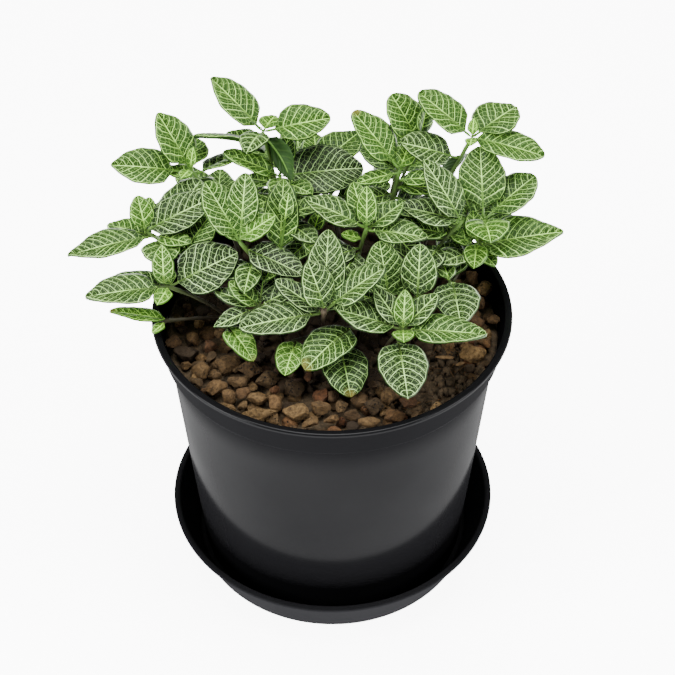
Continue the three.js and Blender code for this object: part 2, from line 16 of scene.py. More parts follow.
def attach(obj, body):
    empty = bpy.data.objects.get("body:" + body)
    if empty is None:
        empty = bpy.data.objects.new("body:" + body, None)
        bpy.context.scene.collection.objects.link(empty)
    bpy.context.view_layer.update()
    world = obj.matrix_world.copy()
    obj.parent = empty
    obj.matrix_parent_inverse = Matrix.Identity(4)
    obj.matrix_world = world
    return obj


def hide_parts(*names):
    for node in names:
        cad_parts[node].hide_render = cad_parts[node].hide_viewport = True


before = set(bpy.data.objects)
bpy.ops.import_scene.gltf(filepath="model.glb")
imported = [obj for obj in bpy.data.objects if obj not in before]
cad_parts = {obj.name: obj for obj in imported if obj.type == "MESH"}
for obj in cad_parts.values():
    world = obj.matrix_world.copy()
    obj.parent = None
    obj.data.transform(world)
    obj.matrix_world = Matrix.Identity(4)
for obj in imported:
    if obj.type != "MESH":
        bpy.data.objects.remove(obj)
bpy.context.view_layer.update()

MM = 0.001
SIDEWAYS = np.array([1.0, 0.0, 0.0])

# Saucer
SAUCER_RADIUS = 72.9
SAUCER_BASE_RADIUS = 62.3
SAUCER_HEIGHT = 23.6
SAUCER_WALL = 1.8
SAUCER_FLOOR = 2.5
SAUCER_LIP = 1
SAUCER_LIP_HEIGHT = 2

# Pot
RIM_RADIUS = 75
RIM_HEIGHT = 133.6
RIM_LIP = 1.9
LIP_WIDTH = 3.4
LIP_OVERHANG = 1.4
BAND_FOOT = 118.3
BAND_RADIUS = 71
BODY_RADIUS = 68.9
BASE_RADIUS = 59.5
POT_WALL = 1.8
POT_FLOOR = 2
DRAIN_HOLES = 6
DRAIN_RADIUS = 3.5
DRAIN_CIRCLE = 42
ROUND = 160
MERGE = 0.004

# Soil, gravel and what lies on them
SOIL_TOP = 122
GRAVEL_BED = 1.2
GRAVEL_TOP = 129
GRAVEL_RADIUS = 70.5
BARE_PATCH = (38, -33)
BARE_RADIUS = 19

# Stems and leaves
STEM_RADIUS = 1.3
STEM_TIP = 1.6
ROOT_DEPTH = 9
BRANCH_POINT = 0.3
RIB_SHARE = 0.85
HAIR_COUNT = 60
HAIR_SHARE = 0.35
HAIR_LENGTHS = (1.6, 2.8)
HAIR_RADIUS = 0.09
BELLY = 0.85
FULLNESS = 0.52
FOLD = 0.12
DROOP = 14
GROWN_REACH = 19
GROWN_HALF = 8
GROWING = 12

# The squares of a stem's and a stalk's mesh, round it and along it
STEM_GRID = (10, 26)
STALK_GRID = (7, 14)

# Clearances, and the weight of a touch on another stem's leaf where one on its own stem's is 1
FIT_GAP = 0.3
LEAF_GAP = 1.3
STEM_GAP = 2.6
RIM_GAP = 1
FAR_GAP = 2
STRANGER = 10

# A blade's skin
BLADE_THICK = 0.5
VEIN_STEP = 3.3
VEIN_SWEEP = 0.9
ROWS_PER_VEIN = 4
HALF_COLUMNS = 8
QUILT = 0.34
GROOVE = 0.4
GROOVE_WIDTH = 0.9
RUFFLE = 0.5
RUFFLES = 1.4
SCALLOP = 0.035
SCALLOPS = 4
CUSHION = 0.8
WIDEN = 1.05


@dataclass
class Leaf:
    """A leaf's row: which way it points from its crown (turn, anticlockwise from +X, in degrees),
    how steeply it rises, how far its tip is from the crown, its width and its stalk's length.
    below sets its joint under the crown, droop bends it over and roll tips it about its length.
    order says when it is placed: 0 before the fillers, 1 with them and 2 after them.
    youth makes it paler and brighter, bronze turns its tip yellow and brown, acute draws its tip
    out to a point, broad widens it and shade darkens it as painted shade, or lightens it as painted
    light when below 0."""

    turn: float
    rise: float
    reach: float
    width: float
    stalk: float
    below: float = 0
    droop: float = DROOP
    roll: float = 0
    order: int = 0
    youth: float = None
    bronze: float = 0
    acute: float = 0.1
    broad: float = 1
    shade: float = 0

    def __post_init__(self):
        """A short leaf is a young one, unless its row says otherwise"""
        if self.youth is None:
            self.youth = min(1, max(0, (GROWN_REACH - self.reach) / GROWING))


def filler(turn, rise, reach, width, below=0):
    """A leaf that fills in behind or under the others, placed after them"""
    return Leaf(turn, rise, reach, width, 2, below=below, order=1)


def inner(turn, rise, reach, width, below=0):
    """A small leaf inside the bush, placed last and too many for the plain solids"""
    return Leaf(turn, rise, reach, width, 2, below=below, order=2)


def shoot(crown, *leaves, old=False):
    """A shoot's crown and its leaves. An old one has a thicker stem, brown up to its crown."""
    return {"crown": np.array(crown, float), "leaves": leaves, "old": old}


def stem(name, root, *shoots):
    return {"name": name, "root": root, "shoots": shoots}


# Each leafy stem's name, place in the soil and shoots, the first of which bears the others
STEMS = [
    stem("left_upper", (-38, 28), shoot((-59, 40, 174),
        Leaf(140, 50, 27, 18, 3, acute=0.45, shade=-0.5),
        Leaf(184, 9, 34, 18, 8, below=1, roll=-20, acute=0.5),
        Leaf(90, 10, 18, 14, 2, shade=0.2),
        Leaf(35, 2, 25, 14, 4, below=2, droop=15, roll=-18, shade=0.4),
        Leaf(245, 5, 8, 6, 1), Leaf(60, 70, 10, 5.5, 1),
        filler(290, -15, 20, 10, 7), filler(100, -45, 26, 14, 4),
        inner(165, 15, 14, 9, 3),
    )),
    stem("left_middle", (-46, 10), shoot((-75, 15, 160),
        Leaf(195, -5, 36, 17, 4, below=1, acute=0.45, shade=0.2),
        Leaf(150, 0, 26, 14, 3, below=2, acute=0.4),
        Leaf(110, 50, 15, 10, 1, below=-1),
        Leaf(85, 30, 15, 8, 1, below=-1),
        Leaf(20, 18, 31, 17, 2, below=-1, roll=20, shade=0.5),
        Leaf(56, 42, 31, 20, 4, below=3, shade=0.3),
        Leaf(285, 0, 18, 13, 2, below=2, broad=1.2),
        inner(335, 5, 18, 11, 1), inner(20, -20, 18, 11, 4),
    )),
    stem("left_lower", (-40, -6), shoot((-66, -7, 150),
        Leaf(192, 1, 34, 19, 5, acute=0.5, shade=0.2),
        Leaf(92, 50, 17, 9, 1, below=-1),
        Leaf(20, 18, 31, 21.5, 4, roll=25, shade=0.3),
        Leaf(245, -10, 10, 8, 1),
        Leaf(160, 4, 27, 12, 6, below=1),
        Leaf(125, 15, 14, 9, 2, below=1),
    ), shoot((-67, -13, 137),
        Leaf(176, 8, 24, 10, 1, roll=10, youth=0.7, bronze=0.4),
        filler(230, -5, 9, 5),
    )),
    stem("left_inner", (-36, 12), shoot((-62, 7, 153),
        Leaf(62, 48, 26, 17, 1), Leaf(355, -10, 28, 10, 12),
    )),
    stem("back_left", (-20, 38), shoot((-29, 53, 184),
        Leaf(155, 40, 31, 19, 4, acute=0.4),
        Leaf(8, 8, 29, 17.5, 5, roll=20),
        Leaf(65, 5, 11, 9, 2),
        Leaf(248, 0, 17, 12, 2, droop=50, youth=0, shade=0.6),
        Leaf(300, -20, 26, 16, 2, below=1, droop=40, roll=-110, acute=0.5, broad=0.75),
        Leaf(187, 12, 31, 14, 6, below=5, droop=20, roll=30),
        Leaf(155, -5, 19, 10, 4, below=4),
        filler(95, -45, 26, 15, 4),
    ), shoot((-22, 42, 169),
        Leaf(12, -2, 36, 21, 3, roll=22, broad=1.12, shade=0.5),
        filler(175, 20, 26, 13), filler(270, 10, 20, 10), filler(215, 5, 22, 12, 10),
        filler(85, 20, 20, 10),
        inner(300, -5, 20, 13, 6), inner(320, 5, 18, 11, 2), inner(285, -20, 20, 12, 12),
        inner(150, -10, 18, 12, 4),
    )),
    stem("back_middle", (4, 34), shoot((-6, 52, 166),
        Leaf(48, 26, 26, 19, 1),
        filler(150, 10, 22, 12), filler(95, 5, 24, 12),
    ), shoot((0, 42, 157),
        filler(15, 5, 26, 14), filler(185, 5, 26, 14), filler(285, 0, 20, 11),
        inner(100, 30, 20, 12),
    )),
    stem("middle_left", (-24, 3), shoot((-37, 2, 166),
        Leaf(135, 45, 28, 17, 3, shade=0.35),
        Leaf(82, 47, 28, 13, 6, shade=0.2),
        Leaf(340, -15, 26, 17.5, 1, below=4, acute=0.35, shade=0.5),
        Leaf(130, 25, 18, 9, 2, below=2),
        Leaf(24, 24, 18, 11, 1, below=-1, roll=15, youth=0.5),
        filler(262, -8, 20, 11, 9), filler(200, -10, 20, 12, 12),
        inner(330, -15, 20, 12, 14),
    ), shoot((-21, 4, 160),
        Leaf(86, 48, 29, 14, 1),
        Leaf(74, 58, 23, 7, 12, below=-1),
        filler(250, 0, 14, 9, 5),
    )),
    stem("middle_back", (-8, 20), shoot((-20, 16, 168),
        Leaf(80, 50, 14, 10, 1),
        filler(10, 15, 20, 11), filler(200, 5, 18, 10),
        inner(300, 10, 18, 11, 3),
    ), shoot((-8, 14, 160),
        Leaf(70, 30, 11, 7, 1), Leaf(190, 0, 11, 7, 1),
        filler(275, 5, 15, 9),
        inner(320, 5, 20, 12, 4), inner(230, 0, 18, 11, 3),
    )),
    stem("middle", (8, 6), shoot((14, 6, 170),
        Leaf(90, 55, 17, 8.5, 1),
        Leaf(165, 20, 28, 14, 4, acute=0.35, broad=1.15, shade=0.3),
        Leaf(355, -5, 25, 14, 3, below=1, acute=0.4, broad=1.15, shade=0.2),
        Leaf(105, 25, 22, 10, 5, below=1),
        Leaf(35, 20, 20, 12, 3, below=2),
        Leaf(170, 10, 9, 7, 1, below=6),
        filler(245, 0, 22, 12, 12),
        inner(205, -10, 22, 13, 10), inner(290, -20, 20, 12, 14),
    )),
    stem("right_inner", (34, 12), shoot((53, 15, 166),
        Leaf(138, 44, 30, 13, 2, acute=0.35, broad=1.3, shade=0.7),
        Leaf(170, 10, 26, 16, 2, acute=0.3, broad=1.1, shade=0.4),
        Leaf(172, 5, 23, 15, 1, below=6),
        filler(240, -10, 22, 12, 10),
        inner(210, -15, 20, 12, 16),
    )),
    stem("back_right", (20, 24), shoot((28, 34, 178),
        Leaf(145, 40, 31, 18, 5, bronze=0.6),
        Leaf(70, 25, 14, 10, 1),
        Leaf(190, -10, 18, 10, 2, below=1),
        filler(215, 0, 22, 12, 14),
        inner(5, -5, 24, 14, 7), inner(20, -25, 22, 13, 11), inner(330, -15, 22, 13, 15),
        inner(180, -20, 20, 12, 18), inner(350, 10, 20, 12, 4),
    ), shoot((36, 48, 182),
        Leaf(135, 45, 23, 19, 2),
        Leaf(72, 50, 17, 10, 3, roll=60),
        inner(200, -10, 18, 12, 16), inner(350, -10, 20, 12, 20), inner(10, -20, 24, 14, 25),
        inner(320, -20, 22, 13, 28),
    )),
    stem("right_upper", (38, 30), shoot((58, 46, 186),
        Leaf(153, 30, 29, 19.5, 4),
        Leaf(40, 10, 25, 20, 4, acute=0.05),
        Leaf(346, -8, 31, 17, 2, roll=8),
        Leaf(165, 12, 27, 16, 4, below=8, roll=-20, shade=0.5),
        Leaf(260, 10, 8, 5, 1), Leaf(80, 60, 8, 4.5, 1),
        filler(120, -60, 20, 12, 6),
        inner(200, -20, 24, 14, 14), inner(215, -30, 24, 14, 22),
    )),
    stem("right_middle", (42, 20), shoot((62.5, 20, 163),
        Leaf(93, 49, 31, 19.5, 5, acute=0.1, shade=0.5),
        Leaf(36, 22, 29, 19, 5, acute=0.1, shade=0.15),
        Leaf(270, 5, 17, 18, 1, droop=50),
        filler(190, 5, 22, 12, 8),
        inner(230, -25, 20, 12, 9),
    )),
    stem("right_lower", (46, 4), shoot((60, 16, 154),
        Leaf(0, 12, 37, 21, 3, below=1, roll=12, acute=0.6),
        Leaf(98, 45, 14, 9, 1),
        Leaf(262, -5, 15, 10, 1, droop=30, youth=0.5),
        Leaf(310, -8, 13, 9, 1, below=1, youth=0.5),
        Leaf(215, -40, 17, 9, 3),
        inner(120, 15, 18, 12, 2), inner(40, 20, 16, 11, 1), inner(140, 0, 20, 12, 5),
        inner(170, 10, 14, 10, 1), inner(200, 0, 18, 12, 3),
    )),
    stem("front_right", (20, -26), shoot((28, -33, 150),
        Leaf(85, 50, 16, 8.5, 1),
        Leaf(170, 14, 28, 18, 4, acute=0.35),
        Leaf(355, 0, 33, 17, 3, acute=0.5),
        Leaf(276, -6, 33, 18, 5, below=4, droop=25, acute=0, broad=1.06),
        Leaf(270, 15, 10, 9, 1),
        filler(130, 30, 20, 11), filler(40, 25, 20, 11),
    )),
    stem("right_front", (36, -6), shoot((48, -5, 150),
        Leaf(275, 0, 24, 18.5, 1, below=-1),
        Leaf(195, -20, 12, 9, 4, below=8),
        filler(100, 0, 16, 8),
    ), shoot((34, -19, 154),
        Leaf(85, 50, 22, 14.5, 1),
    )),
    stem("front_inner", (12, -10), shoot((23, -15, 150),
        Leaf(105, 50, 24, 17, 1), Leaf(45, 45, 18, 10, 2),
        filler(165, 12, 22, 12, 3), filler(330, 0, 20, 11, 3),
    )),
    stem("front_middle", (-4, -18), shoot((-3, -26, 154),
        Leaf(18, 20, 30, 16, 5),
        Leaf(85, 50, 33, 15.5, 3, below=2),
        Leaf(128, 60, 21, 15, 1, below=-1),
        Leaf(190, -5, 34, 16.5, 5, below=2, roll=-8),
        filler(150, 12, 24, 12, 4), filler(50, 20, 22, 12, 4),
        old=True,
    ), shoot((8, -23, 142),
        Leaf(230, -5, 29, 18, 1, droop=30, bronze=0.4, acute=0, shade=-0.4),
        Leaf(281, -16, 32, 16.5, 8, below=3, droop=30, bronze=0.6, acute=0, broad=1.1, shade=-0.5),
    ), shoot((-14, -27, 139),
        Leaf(256, -8, 19, 12, 1, droop=40, youth=0.6, acute=0),
    )),
    stem("front_left", (-20, -14), shoot((-29, -17, 148),
        Leaf(155, 30, 16, 11, 1), Leaf(20, 20, 19, 11, 2),
        Leaf(200, -15, 20, 10, 4, acute=0.4),
        Leaf(160, 10, 22, 10, 4, below=2),
        filler(85, 28, 20, 11),
    ), shoot((-42.5, -20, 140),
        Leaf(304, -10, 21, 11, 1, droop=50, youth=0.7, bronze=0.4, acute=0),
    )),
    stem("rear_left", (-30, 46), shoot((-50, 50, 143),
        filler(130, 20, 30, 16), filler(90, 5, 28, 15), filler(170, 0, 28, 14), filler(8, 15, 30, 15),
    )),
    stem("rear_middle", (-8, 54), shoot((-14, 66, 154),
        filler(95, 15, 30, 16), filler(145, 5, 28, 15), filler(50, 0, 28, 15),
        filler(70, -15, 22, 13, 3),
    )),
    stem("rear_right", (22, 50), shoot((28, 62, 156),
        filler(80, 20, 30, 17), filler(125, 0, 26, 14), filler(35, 5, 28, 15),
        filler(100, -15, 24, 13, 3),
    )),
    stem("right_rear", (48, 40), shoot((58, 44, 143),
        filler(40, 15, 30, 16), filler(85, 5, 28, 15), filler(350, 0, 28, 15),
        filler(60, -15, 22, 13, 3),
    )),
]


class StemCurve:
    """A shoot's stem: it stands straight up in the soil, and above it leans out towards its crown
    as the square of its height. A side shoot starts inside the first shoot's stem."""

    def __init__(self, start, crown, root_depth):
        self.start = start
        self.climb = crown - start
        self.low = -root_depth / self.climb[2]
        self.high = 1 + STEM_TIP / np.linalg.norm(self.climb)

    def at(self, share):
        share = np.asarray(share, float)
        lean = np.maximum(0, share) ** 2
        x, y, z = self.climb
        return self.start + np.stack([lean * x, lean * y, share * z], axis=-1)

    def along(self, part):
        return self.at(self.low + part * (self.high - self.low))


def stem_curve(one, part):
    """The stem of one of a leafy stem's shoots"""
    first = one["shoots"][0]
    if part is first:
        start = np.array([*one["root"], SOIL_TOP + GRAVEL_BED], float)
        return StemCurve(start, part["crown"], ROOT_DEPTH + GRAVEL_BED)
    return StemCurve(stem_curve(one, first).at(BRANCH_POINT), part["crown"], 0)


# A blade's test points along it and across it. The first NEAR_STALK of them may touch another leaf
# of the same stem.
NET_ALONG = (0, 0.15, 0.3, 0.45, 0.6, 0.75, 0.9, 1)
NET_ACROSS = (-1, -0.5, 0, 0.5, 1)
NET_SHARES = np.repeat(NET_ALONG, len(NET_ACROSS))
NET_SIDES = np.tile(NET_ACROSS, len(NET_ALONG))
NEAR_STALK = 12
STEM_NET = np.linspace(0, 1, 17)


class Blade:
    """Where a leaf's blade lies: its start, its three directions and its size"""

    def __init__(self, row, curve, turn_by, rise_by):
        turn = radians(row.turn + turn_by)
        rise = radians(row.rise + rise_by)
        level = np.array([sin(turn), -cos(turn), 0])
        self.along = np.array([cos(rise) * cos(turn), cos(rise) * sin(turn), sin(rise)])
        roll = radians(row.roll)
        self.across = cos(roll) * level + sin(roll) * np.cross(self.along, level)
        self.up = np.cross(self.across, self.along)
        self.joint = curve.at(1 - row.below / curve.climb[2])
        self.base = self.joint + row.stalk * self.along
        self.stalk = row.stalk
        self.length = row.reach - row.stalk
        self.half = row.width / 2
        self.bend = radians(row.droop)
        self.arc = self.length / self.bend

    def half_width(self, share):
        """A rounded base, widest before the middle"""
        return self.half * np.sin(np.pi * share ** BELLY) ** FULLNESS

    def points(self, share, side, lift=0, half=None):
        """Points of the blade. The midrib is an arc of a circle, and each half rises from it."""
        half = self.half_width(share) if half is None else half
        lean = self.bend * (0.5 - share)
        height = self.arc + lift + FOLD * half * np.abs(side)
        forward = self.arc * sin(self.bend / 2) - height * np.sin(lean)
        upward = height * np.cos(lean) - self.arc * cos(self.bend / 2)
        out = half * side
        return (self.base + np.multiply.outer(forward, self.along)
                + np.multiply.outer(upward, self.up) + np.multiply.outer(out, self.across))

    def heights(self, points):
        """How high each point is over the blade, with none for those that aren't over it"""
        away = points - self.base
        forward = away @ self.along - self.arc * sin(self.bend / 2)
        upward = away @ self.up + self.arc * cos(self.bend / 2)
        share = 0.5 + np.arctan2(forward, upward) / self.bend
        aside = np.abs(away @ self.across)
        on_length = (share > 0) & (share < 1)
        half = self.half_width(np.where(on_length, share, 0.5))
        over = on_length & (aside <= half + FIT_GAP)
        return (np.hypot(forward, upward) - self.arc - FOLD * aside)[over]

    def outline(self):
        """The stalk's middle and a net of points over the blade"""
        first = self.joint + 0.6 * (self.base - self.joint)
        return np.vstack([first, self.points(NET_SHARES, NET_SIDES)])


def crossing(points, blade, gap):
    """How much of one leaf's points touch or pass through another's blade"""
    heights = blade.heights(points)
    close = np.abs(heights) < gap
    above = np.sum(~close & (heights > 0))
    under = np.sum(~close & (heights < 0))
    return np.sum(close) + min(above, under)


def grounded(points):
    """Points below the gravel's top, or in the ring that the pot's rim takes up"""
    radius = np.hypot(points[:, 0], points[:, 1])
    inside = radius < RIM_RADIUS - LIP_WIDTH - RIM_GAP - 1
    top = np.where(inside, GRAVEL_TOP, RIM_HEIGHT) + RIM_GAP
    return np.sum((radius <= RIM_RADIUS + RIM_GAP) & (points[:, 2] < top))


def trouble(blade, points, owner, placed, stem_nets):
    """How badly a blade touches what is already there"""
    total = STRANGER * grounded(points)
    for other in placed:
        distance = np.linalg.norm(blade.base - other["blade"].base)
        if distance >= blade.length + other["blade"].length + FAR_GAP:
            continue
        if other["owner"] == owner:
            total += crossing(points[NEAR_STALK:], other["blade"], LEAF_GAP)
        else:
            total += STRANGER * crossing(points, other["blade"], LEAF_GAP)
            total += STRANGER * crossing(other["points"], blade, LEAF_GAP)
    for name, net in stem_nets.items():
        if name != owner:
            total += STRANGER * crossing(net, blade, STEM_GAP)
    return total


# The steps in degrees by which a leaf is turned and lifted, and how many of each it may take
TURN_STEP = 6
RISE_STEP = 4
TURNS = (0, -1, 1, -2, 2, -3, 3)
RISES = (0, -1, 1, -2, 2, -3, 3, -4, 4)


def settle(row, curve, owner, placed, stem_nets):
    """Each leaf takes the first heading near its own that is clear of what is already there"""
    best = None
    for turns in TURNS:
        for rises in RISES:
            effort = abs(turns) + abs(rises)
            if best and effort >= best["cost"]:
                continue
            blade = Blade(row, curve, turns * TURN_STEP, rises * RISE_STEP)
            points = blade.outline()
            cost = trouble(blade, points, owner, placed, stem_nets) + effort
            if not best or cost < best["cost"]:
                best = {"blade": blade, "points": points, "owner": owner, "cost": cost, "row": row}
    return best


def settled_leaves():
    stem_nets = {
        one["name"]: np.vstack([stem_curve(one, part).along(STEM_NET) for part in one["shoots"]])
        for one in STEMS
    }
    placed = []
    for order in (0, 1, 2):
        for one in STEMS:
            for part in one["shoots"]:
                curve = stem_curve(one, part)
                for row in part["leaves"]:
                    if row.order == order:
                        placed.append(settle(row, curve, one["name"], placed, stem_nets))
    return placed


# Mesh helpers
def faces_of(verts):
    return {face for vert in verts for face in vert.link_faces}


def skin(bm, columns, rows, place, finish_at):
    """A closed skin of squares. place(u, v), with u round it and v along it, both from 0 to 1,
    gives its vertices' places and the values of their attributes. Those in one place are made one.
    finish_at(u) numbers a square's finish."""
    made = bmesh.ops.create_grid(bm, x_segments=columns, y_segments=rows, size=0.5)["verts"]
    for face in faces_of(made):
        face.material_index = finish_at(face.calc_center_median().x + 0.5)
    u, v = np.clip(np.array([vert.co.xy for vert in made]).T + 0.5, 0, 1)
    points, marks = place(u, v)
    for i, vert in enumerate(made):
        vert.co = points[i]
        for layer, values in marks:
            vert[layer] = values[i]
    bmesh.ops.remove_doubles(bm, verts=made, dist=MERGE)


def tube(bm, path, radius, grid, side_way, youth):
    """A round skin along path(v), radius(v) thick, its attribute "tipward" set to youth(v).
    grid is how many squares it has round it and along it."""
    def place(u, v):
        ahead = path(v + 0.002) - path(v - 0.002)
        ahead /= np.linalg.norm(ahead, axis=1)[:, None]
        first = np.cross(ahead, side_way)
        first /= np.linalg.norm(first, axis=1)[:, None]
        second = np.cross(ahead, first)
        angle = (2 * np.pi * u)[:, None]
        out = np.cos(angle) * first + np.sin(angle) * second
        return path(v) + radius(v)[:, None] * out, [(bm.verts.layers.float["tipward"], youth(v))]

    skin(bm, *grid, place, lambda u: STEM_FINISH)


def rounded(outline, radius, steps=4):
    """An outline of [radius, height] points with its corners rounded, apart from its two ends"""
    points = [Vector(point) for point in outline]
    smooth = [points[0]]
    for before, corner, after in zip(points, points[1:], points[2:]):
        reach = min(radius, (before - corner).length / 2, (after - corner).length / 2)
        start = corner + reach * (before - corner).normalized()
        end = corner + reach * (after - corner).normalized()
        for i in range(steps + 1):
            share = i / steps
            smooth.append(start.lerp(corner, share).lerp(corner.lerp(end, share), share))
    return [*smooth, points[-1]]


def spun(bm, outline):
    """An outline that starts and ends on the upright axis, turned about it"""
    verts = [bm.verts.new((radius, 0, height)) for radius, height in outline]
    edges = [bm.edges.new(pair) for pair in zip(verts, verts[1:])]
    bmesh.ops.spin(bm, geom=[*verts, *edges], cent=(0, 0, 0), axis=(0, 0, 1),
                   angle=2 * pi, steps=ROUND, use_merge=True)
    bmesh.ops.remove_doubles(bm, verts=bm.verts[:], dist=MERGE)
    bmesh.ops.recalc_face_normals(bm, faces=bm.faces[:])


def in_scene(name, data):
    made = bpy.data.objects.new(name, data)
    bpy.context.scene.collection.objects.link(made)
    return made


def mesh_object(bm, name, scale=MM):
    """The finished mesh as an object in metres"""
    bmesh.ops.transform(bm, matrix=Matrix.Scale(scale, 4), verts=bm.verts[:])
    mesh = bpy.data.meshes.new(name)
    bm.to_mesh(mesh)
    bm.free()
    return in_scene(name, mesh)


def piece(bm, name, slot, finishes, *nodes, smooth=True):
    """A finished piece, riding on the one body of the plant"""
    for face in bm.faces:
        face.smooth = smooth
    made = mesh_object(bm, name)
    for finish in finishes:
        made.data.materials.append(finish)
    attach(made, "root")
    if nodes:
        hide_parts(*nodes)
    return made


# Finishes
def operator(operation):
    """A Math node's operation as a Python operator, in its plain and its reflected form"""
    def plain(self, other):
        return self.finish.math(operation, self, other)

    def reflected(self, other):
        return self.finish.math(operation, other, self)

    return plain, reflected


class Wire:
    """A shader socket that can be used in Python expressions, each of which adds a Math node"""

    def __init__(self, finish, socket):
        self.finish = finish
        self.socket = socket

    def math(self, operation, *others):
        return self.finish.math(operation, self, *others)

    __add__, __radd__ = operator("ADD")
    __sub__, __rsub__ = operator("SUBTRACT")
    __mul__, __rmul__ = operator("MULTIPLY")
    __truediv__, __rtruediv__ = operator("DIVIDE")

    def __abs__(self):
        return self.math("ABSOLUTE")

    def parts(self):
        """The three values of a vector"""
        split = self.finish.node("ShaderNodeSeparateXYZ", sockets={"Vector": self})
        return [Wire(self.finish, output) for output in split.socket.node.outputs]


class Finish:
    """A material and the nodes that make it"""

    def __init__(self, name):
        self.material = bpy.data.materials.new(name)
        self.material.use_nodes = True
        self.tree = self.material.node_tree
        self.tree.nodes.clear()

    def node(self, kind, settings=None, sockets=None, output=0):
        made = self.tree.nodes.new(kind)
        for key, value in (settings or {}).items():
            setattr(made, key, value)
        for key, value in (sockets or {}).items():
            if isinstance(value, Wire):
                self.tree.links.new(value.socket, made.inputs[key])
            else:
                made.inputs[key].default_value = value
        return Wire(self, made.outputs[output])

    def math(self, operation, *values):
        return self.node("ShaderNodeMath", {"operation": operation}, dict(enumerate(values)))

    def mix(self, factor, first, second):
        """From the first colour to the second as factor goes from 0 to 1"""
        sockets = {0: factor, 6: first, 7: second}
        return self.node("ShaderNodeMix", {"data_type": "RGBA"}, sockets, output=2)

    def fade(self, value, start, end):
        """1 at start, smoothly down to 0 at end"""
        sockets = {"Value": value, "From Min": start, "From Max": end, "To Min": 1, "To Max": 0}
        return self.node("ShaderNodeMapRange", {"interpolation_type": "SMOOTHSTEP"}, sockets)

    def place(self):
        """Where a point lies, in metres"""
        return self.node("ShaderNodeTexCoord", output=3)

    def noise(self, scale, detail=3, roughness=0.5):
        values = {"Scale": scale, "Detail": detail, "Roughness": roughness}
        return self.node("ShaderNodeTexNoise", sockets={"Vector": self.place(), **values})

    def attribute(self, name):
        return self.node("ShaderNodeAttribute", {"attribute_name": name}, output=1)

    def bump(self, height, depth, strength):
        sockets = {"Height": height, "Distance": depth * MM, "Strength": strength}
        return self.node("ShaderNodeBump", sockets=sockets)

    def surface(self, colour, rough, shine, relief=None, **others):
        """The material: its colour, roughness and shine, the height, depth and strength of its
        relief, and any other sockets, with underscores for spaces"""
        sockets = {"Base Color": colour, "Roughness": rough, "Specular IOR Level": shine}
        sockets.update({key.replace("_", " "): value for key, value in others.items()})
        if relief:
            sockets["Normal"] = self.bump(*relief)
        shader = self.node("ShaderNodeBsdfPrincipled", sockets=sockets)
        output = self.tree.nodes.new("ShaderNodeOutputMaterial")
        self.tree.links.new(shader.socket, output.inputs["Surface"])
        return self.material


# A blade's pale net: a vein's reach, a cell's width, and how far inside the edge its loop runs
VEIN_REACH = 0.8 * VEIN_STEP
CELL_WIDTH = 1.75
LOOP_INSET = 0.65


def leaf_top():
    """Green blade with a pale net: midrib, side veins, a loop inside the edge and cross veins"""
    finish = Finish("leaf_top")
    across, panel, edge = finish.attribute("blade").parts()
    youth, tone, bronze = finish.attribute("leaf_look").parts()
    tipward = finish.attribute("tipward").parts()[0]
    wander = finish.noise(230, 2) - 0.5
    panel = panel + 0.5 * wander
    side = abs(across)
    to_vein = panel.math("PINGPONG", 0.5) * VEIN_REACH
    midrib = finish.fade(side, 0.20 - 0.15 * tipward, 0.42 - 0.24 * tipward)
    side_vein = finish.fade(to_vein, 0.03, 0.13)
    loop = finish.fade(abs(edge - LOOP_INSET), 0.02, 0.13)
    inside = 1 - finish.fade(edge, 0.3, 0.7)
    cell_x = (side + 0.6 * VEIN_STEP * panel) / CELL_WIDTH + 23 * tone
    cells = finish.node("ShaderNodeCombineXYZ", sockets={0: cell_x, 1: panel * 2})
    to_cross = finish.node(
        "ShaderNodeTexVoronoi",
        {"voronoi_dimensions": "2D", "feature": "DISTANCE_TO_EDGE"},
        {"Vector": cells, "Scale": 1, "Randomness": 0.5},
    )
    cross_vein = finish.fade(to_cross, 0.005, 0.045) * (0.5 + 0.3 * youth)
    veins = (side_vein.math("MAXIMUM", cross_vein) * inside).math("MAXIMUM", loop * 0.8)
    net = midrib.math("MAXIMUM", veins)

    patches = finish.noise(140)
    # tone brings painted shade deep in the bush and on shaded rows, along with a random tone
    depth = (patches - 0.5) * 0.8 + tone
    dark = finish.mix(depth, (0.004, 0.010, 0.001, 1), (0.013, 0.044, 0.001, 1))
    tissue = finish.mix(youth, dark, (0.040, 0.110, 0.008, 1))
    pale = finish.mix(depth, (0.56, 0.85, 0.34, 1), (0.50, 0.90, 0.18, 1))
    pale = finish.mix(youth, pale, (0.50, 0.94, 0.12, 1))
    rib = finish.mix(tipward, (0.32, 0.62, 0.07, 1), pale)
    colour = finish.mix(veins, tissue, pale)
    colour = finish.mix(midrib, colour, rib)
    browning = (tipward + 0.35 * patches - 0.98) * 9 * bronze
    colour = finish.mix(browning, colour, (0.15, 0.12, 0.02, 1))
    grain = finish.noise(1800, 2)
    relief = (0.35 * grain - net, 0.12, 0.7)
    return finish.surface(colour, rough=0.5 + 0.1 * net, shine=0.16, relief=relief)


def leaf_underside():
    """A plain, matt green with the veins standing out a little"""
    finish = Finish("leaf_underside")
    panel = finish.attribute("blade").parts()[1]
    veins = finish.fade(panel.math("PINGPONG", 0.5) * VEIN_REACH, 0.1, 0.5)
    patches = finish.noise(160)
    tissue = finish.mix(patches, (0.006, 0.024, 0.002, 1), (0.014, 0.046, 0.004, 1))
    colour = finish.mix(veins * 0.12, tissue, (0.08, 0.15, 0.03, 1))
    return finish.surface(colour, rough=0.6, shine=0.16, relief=(veins, 0.15, 0.6))


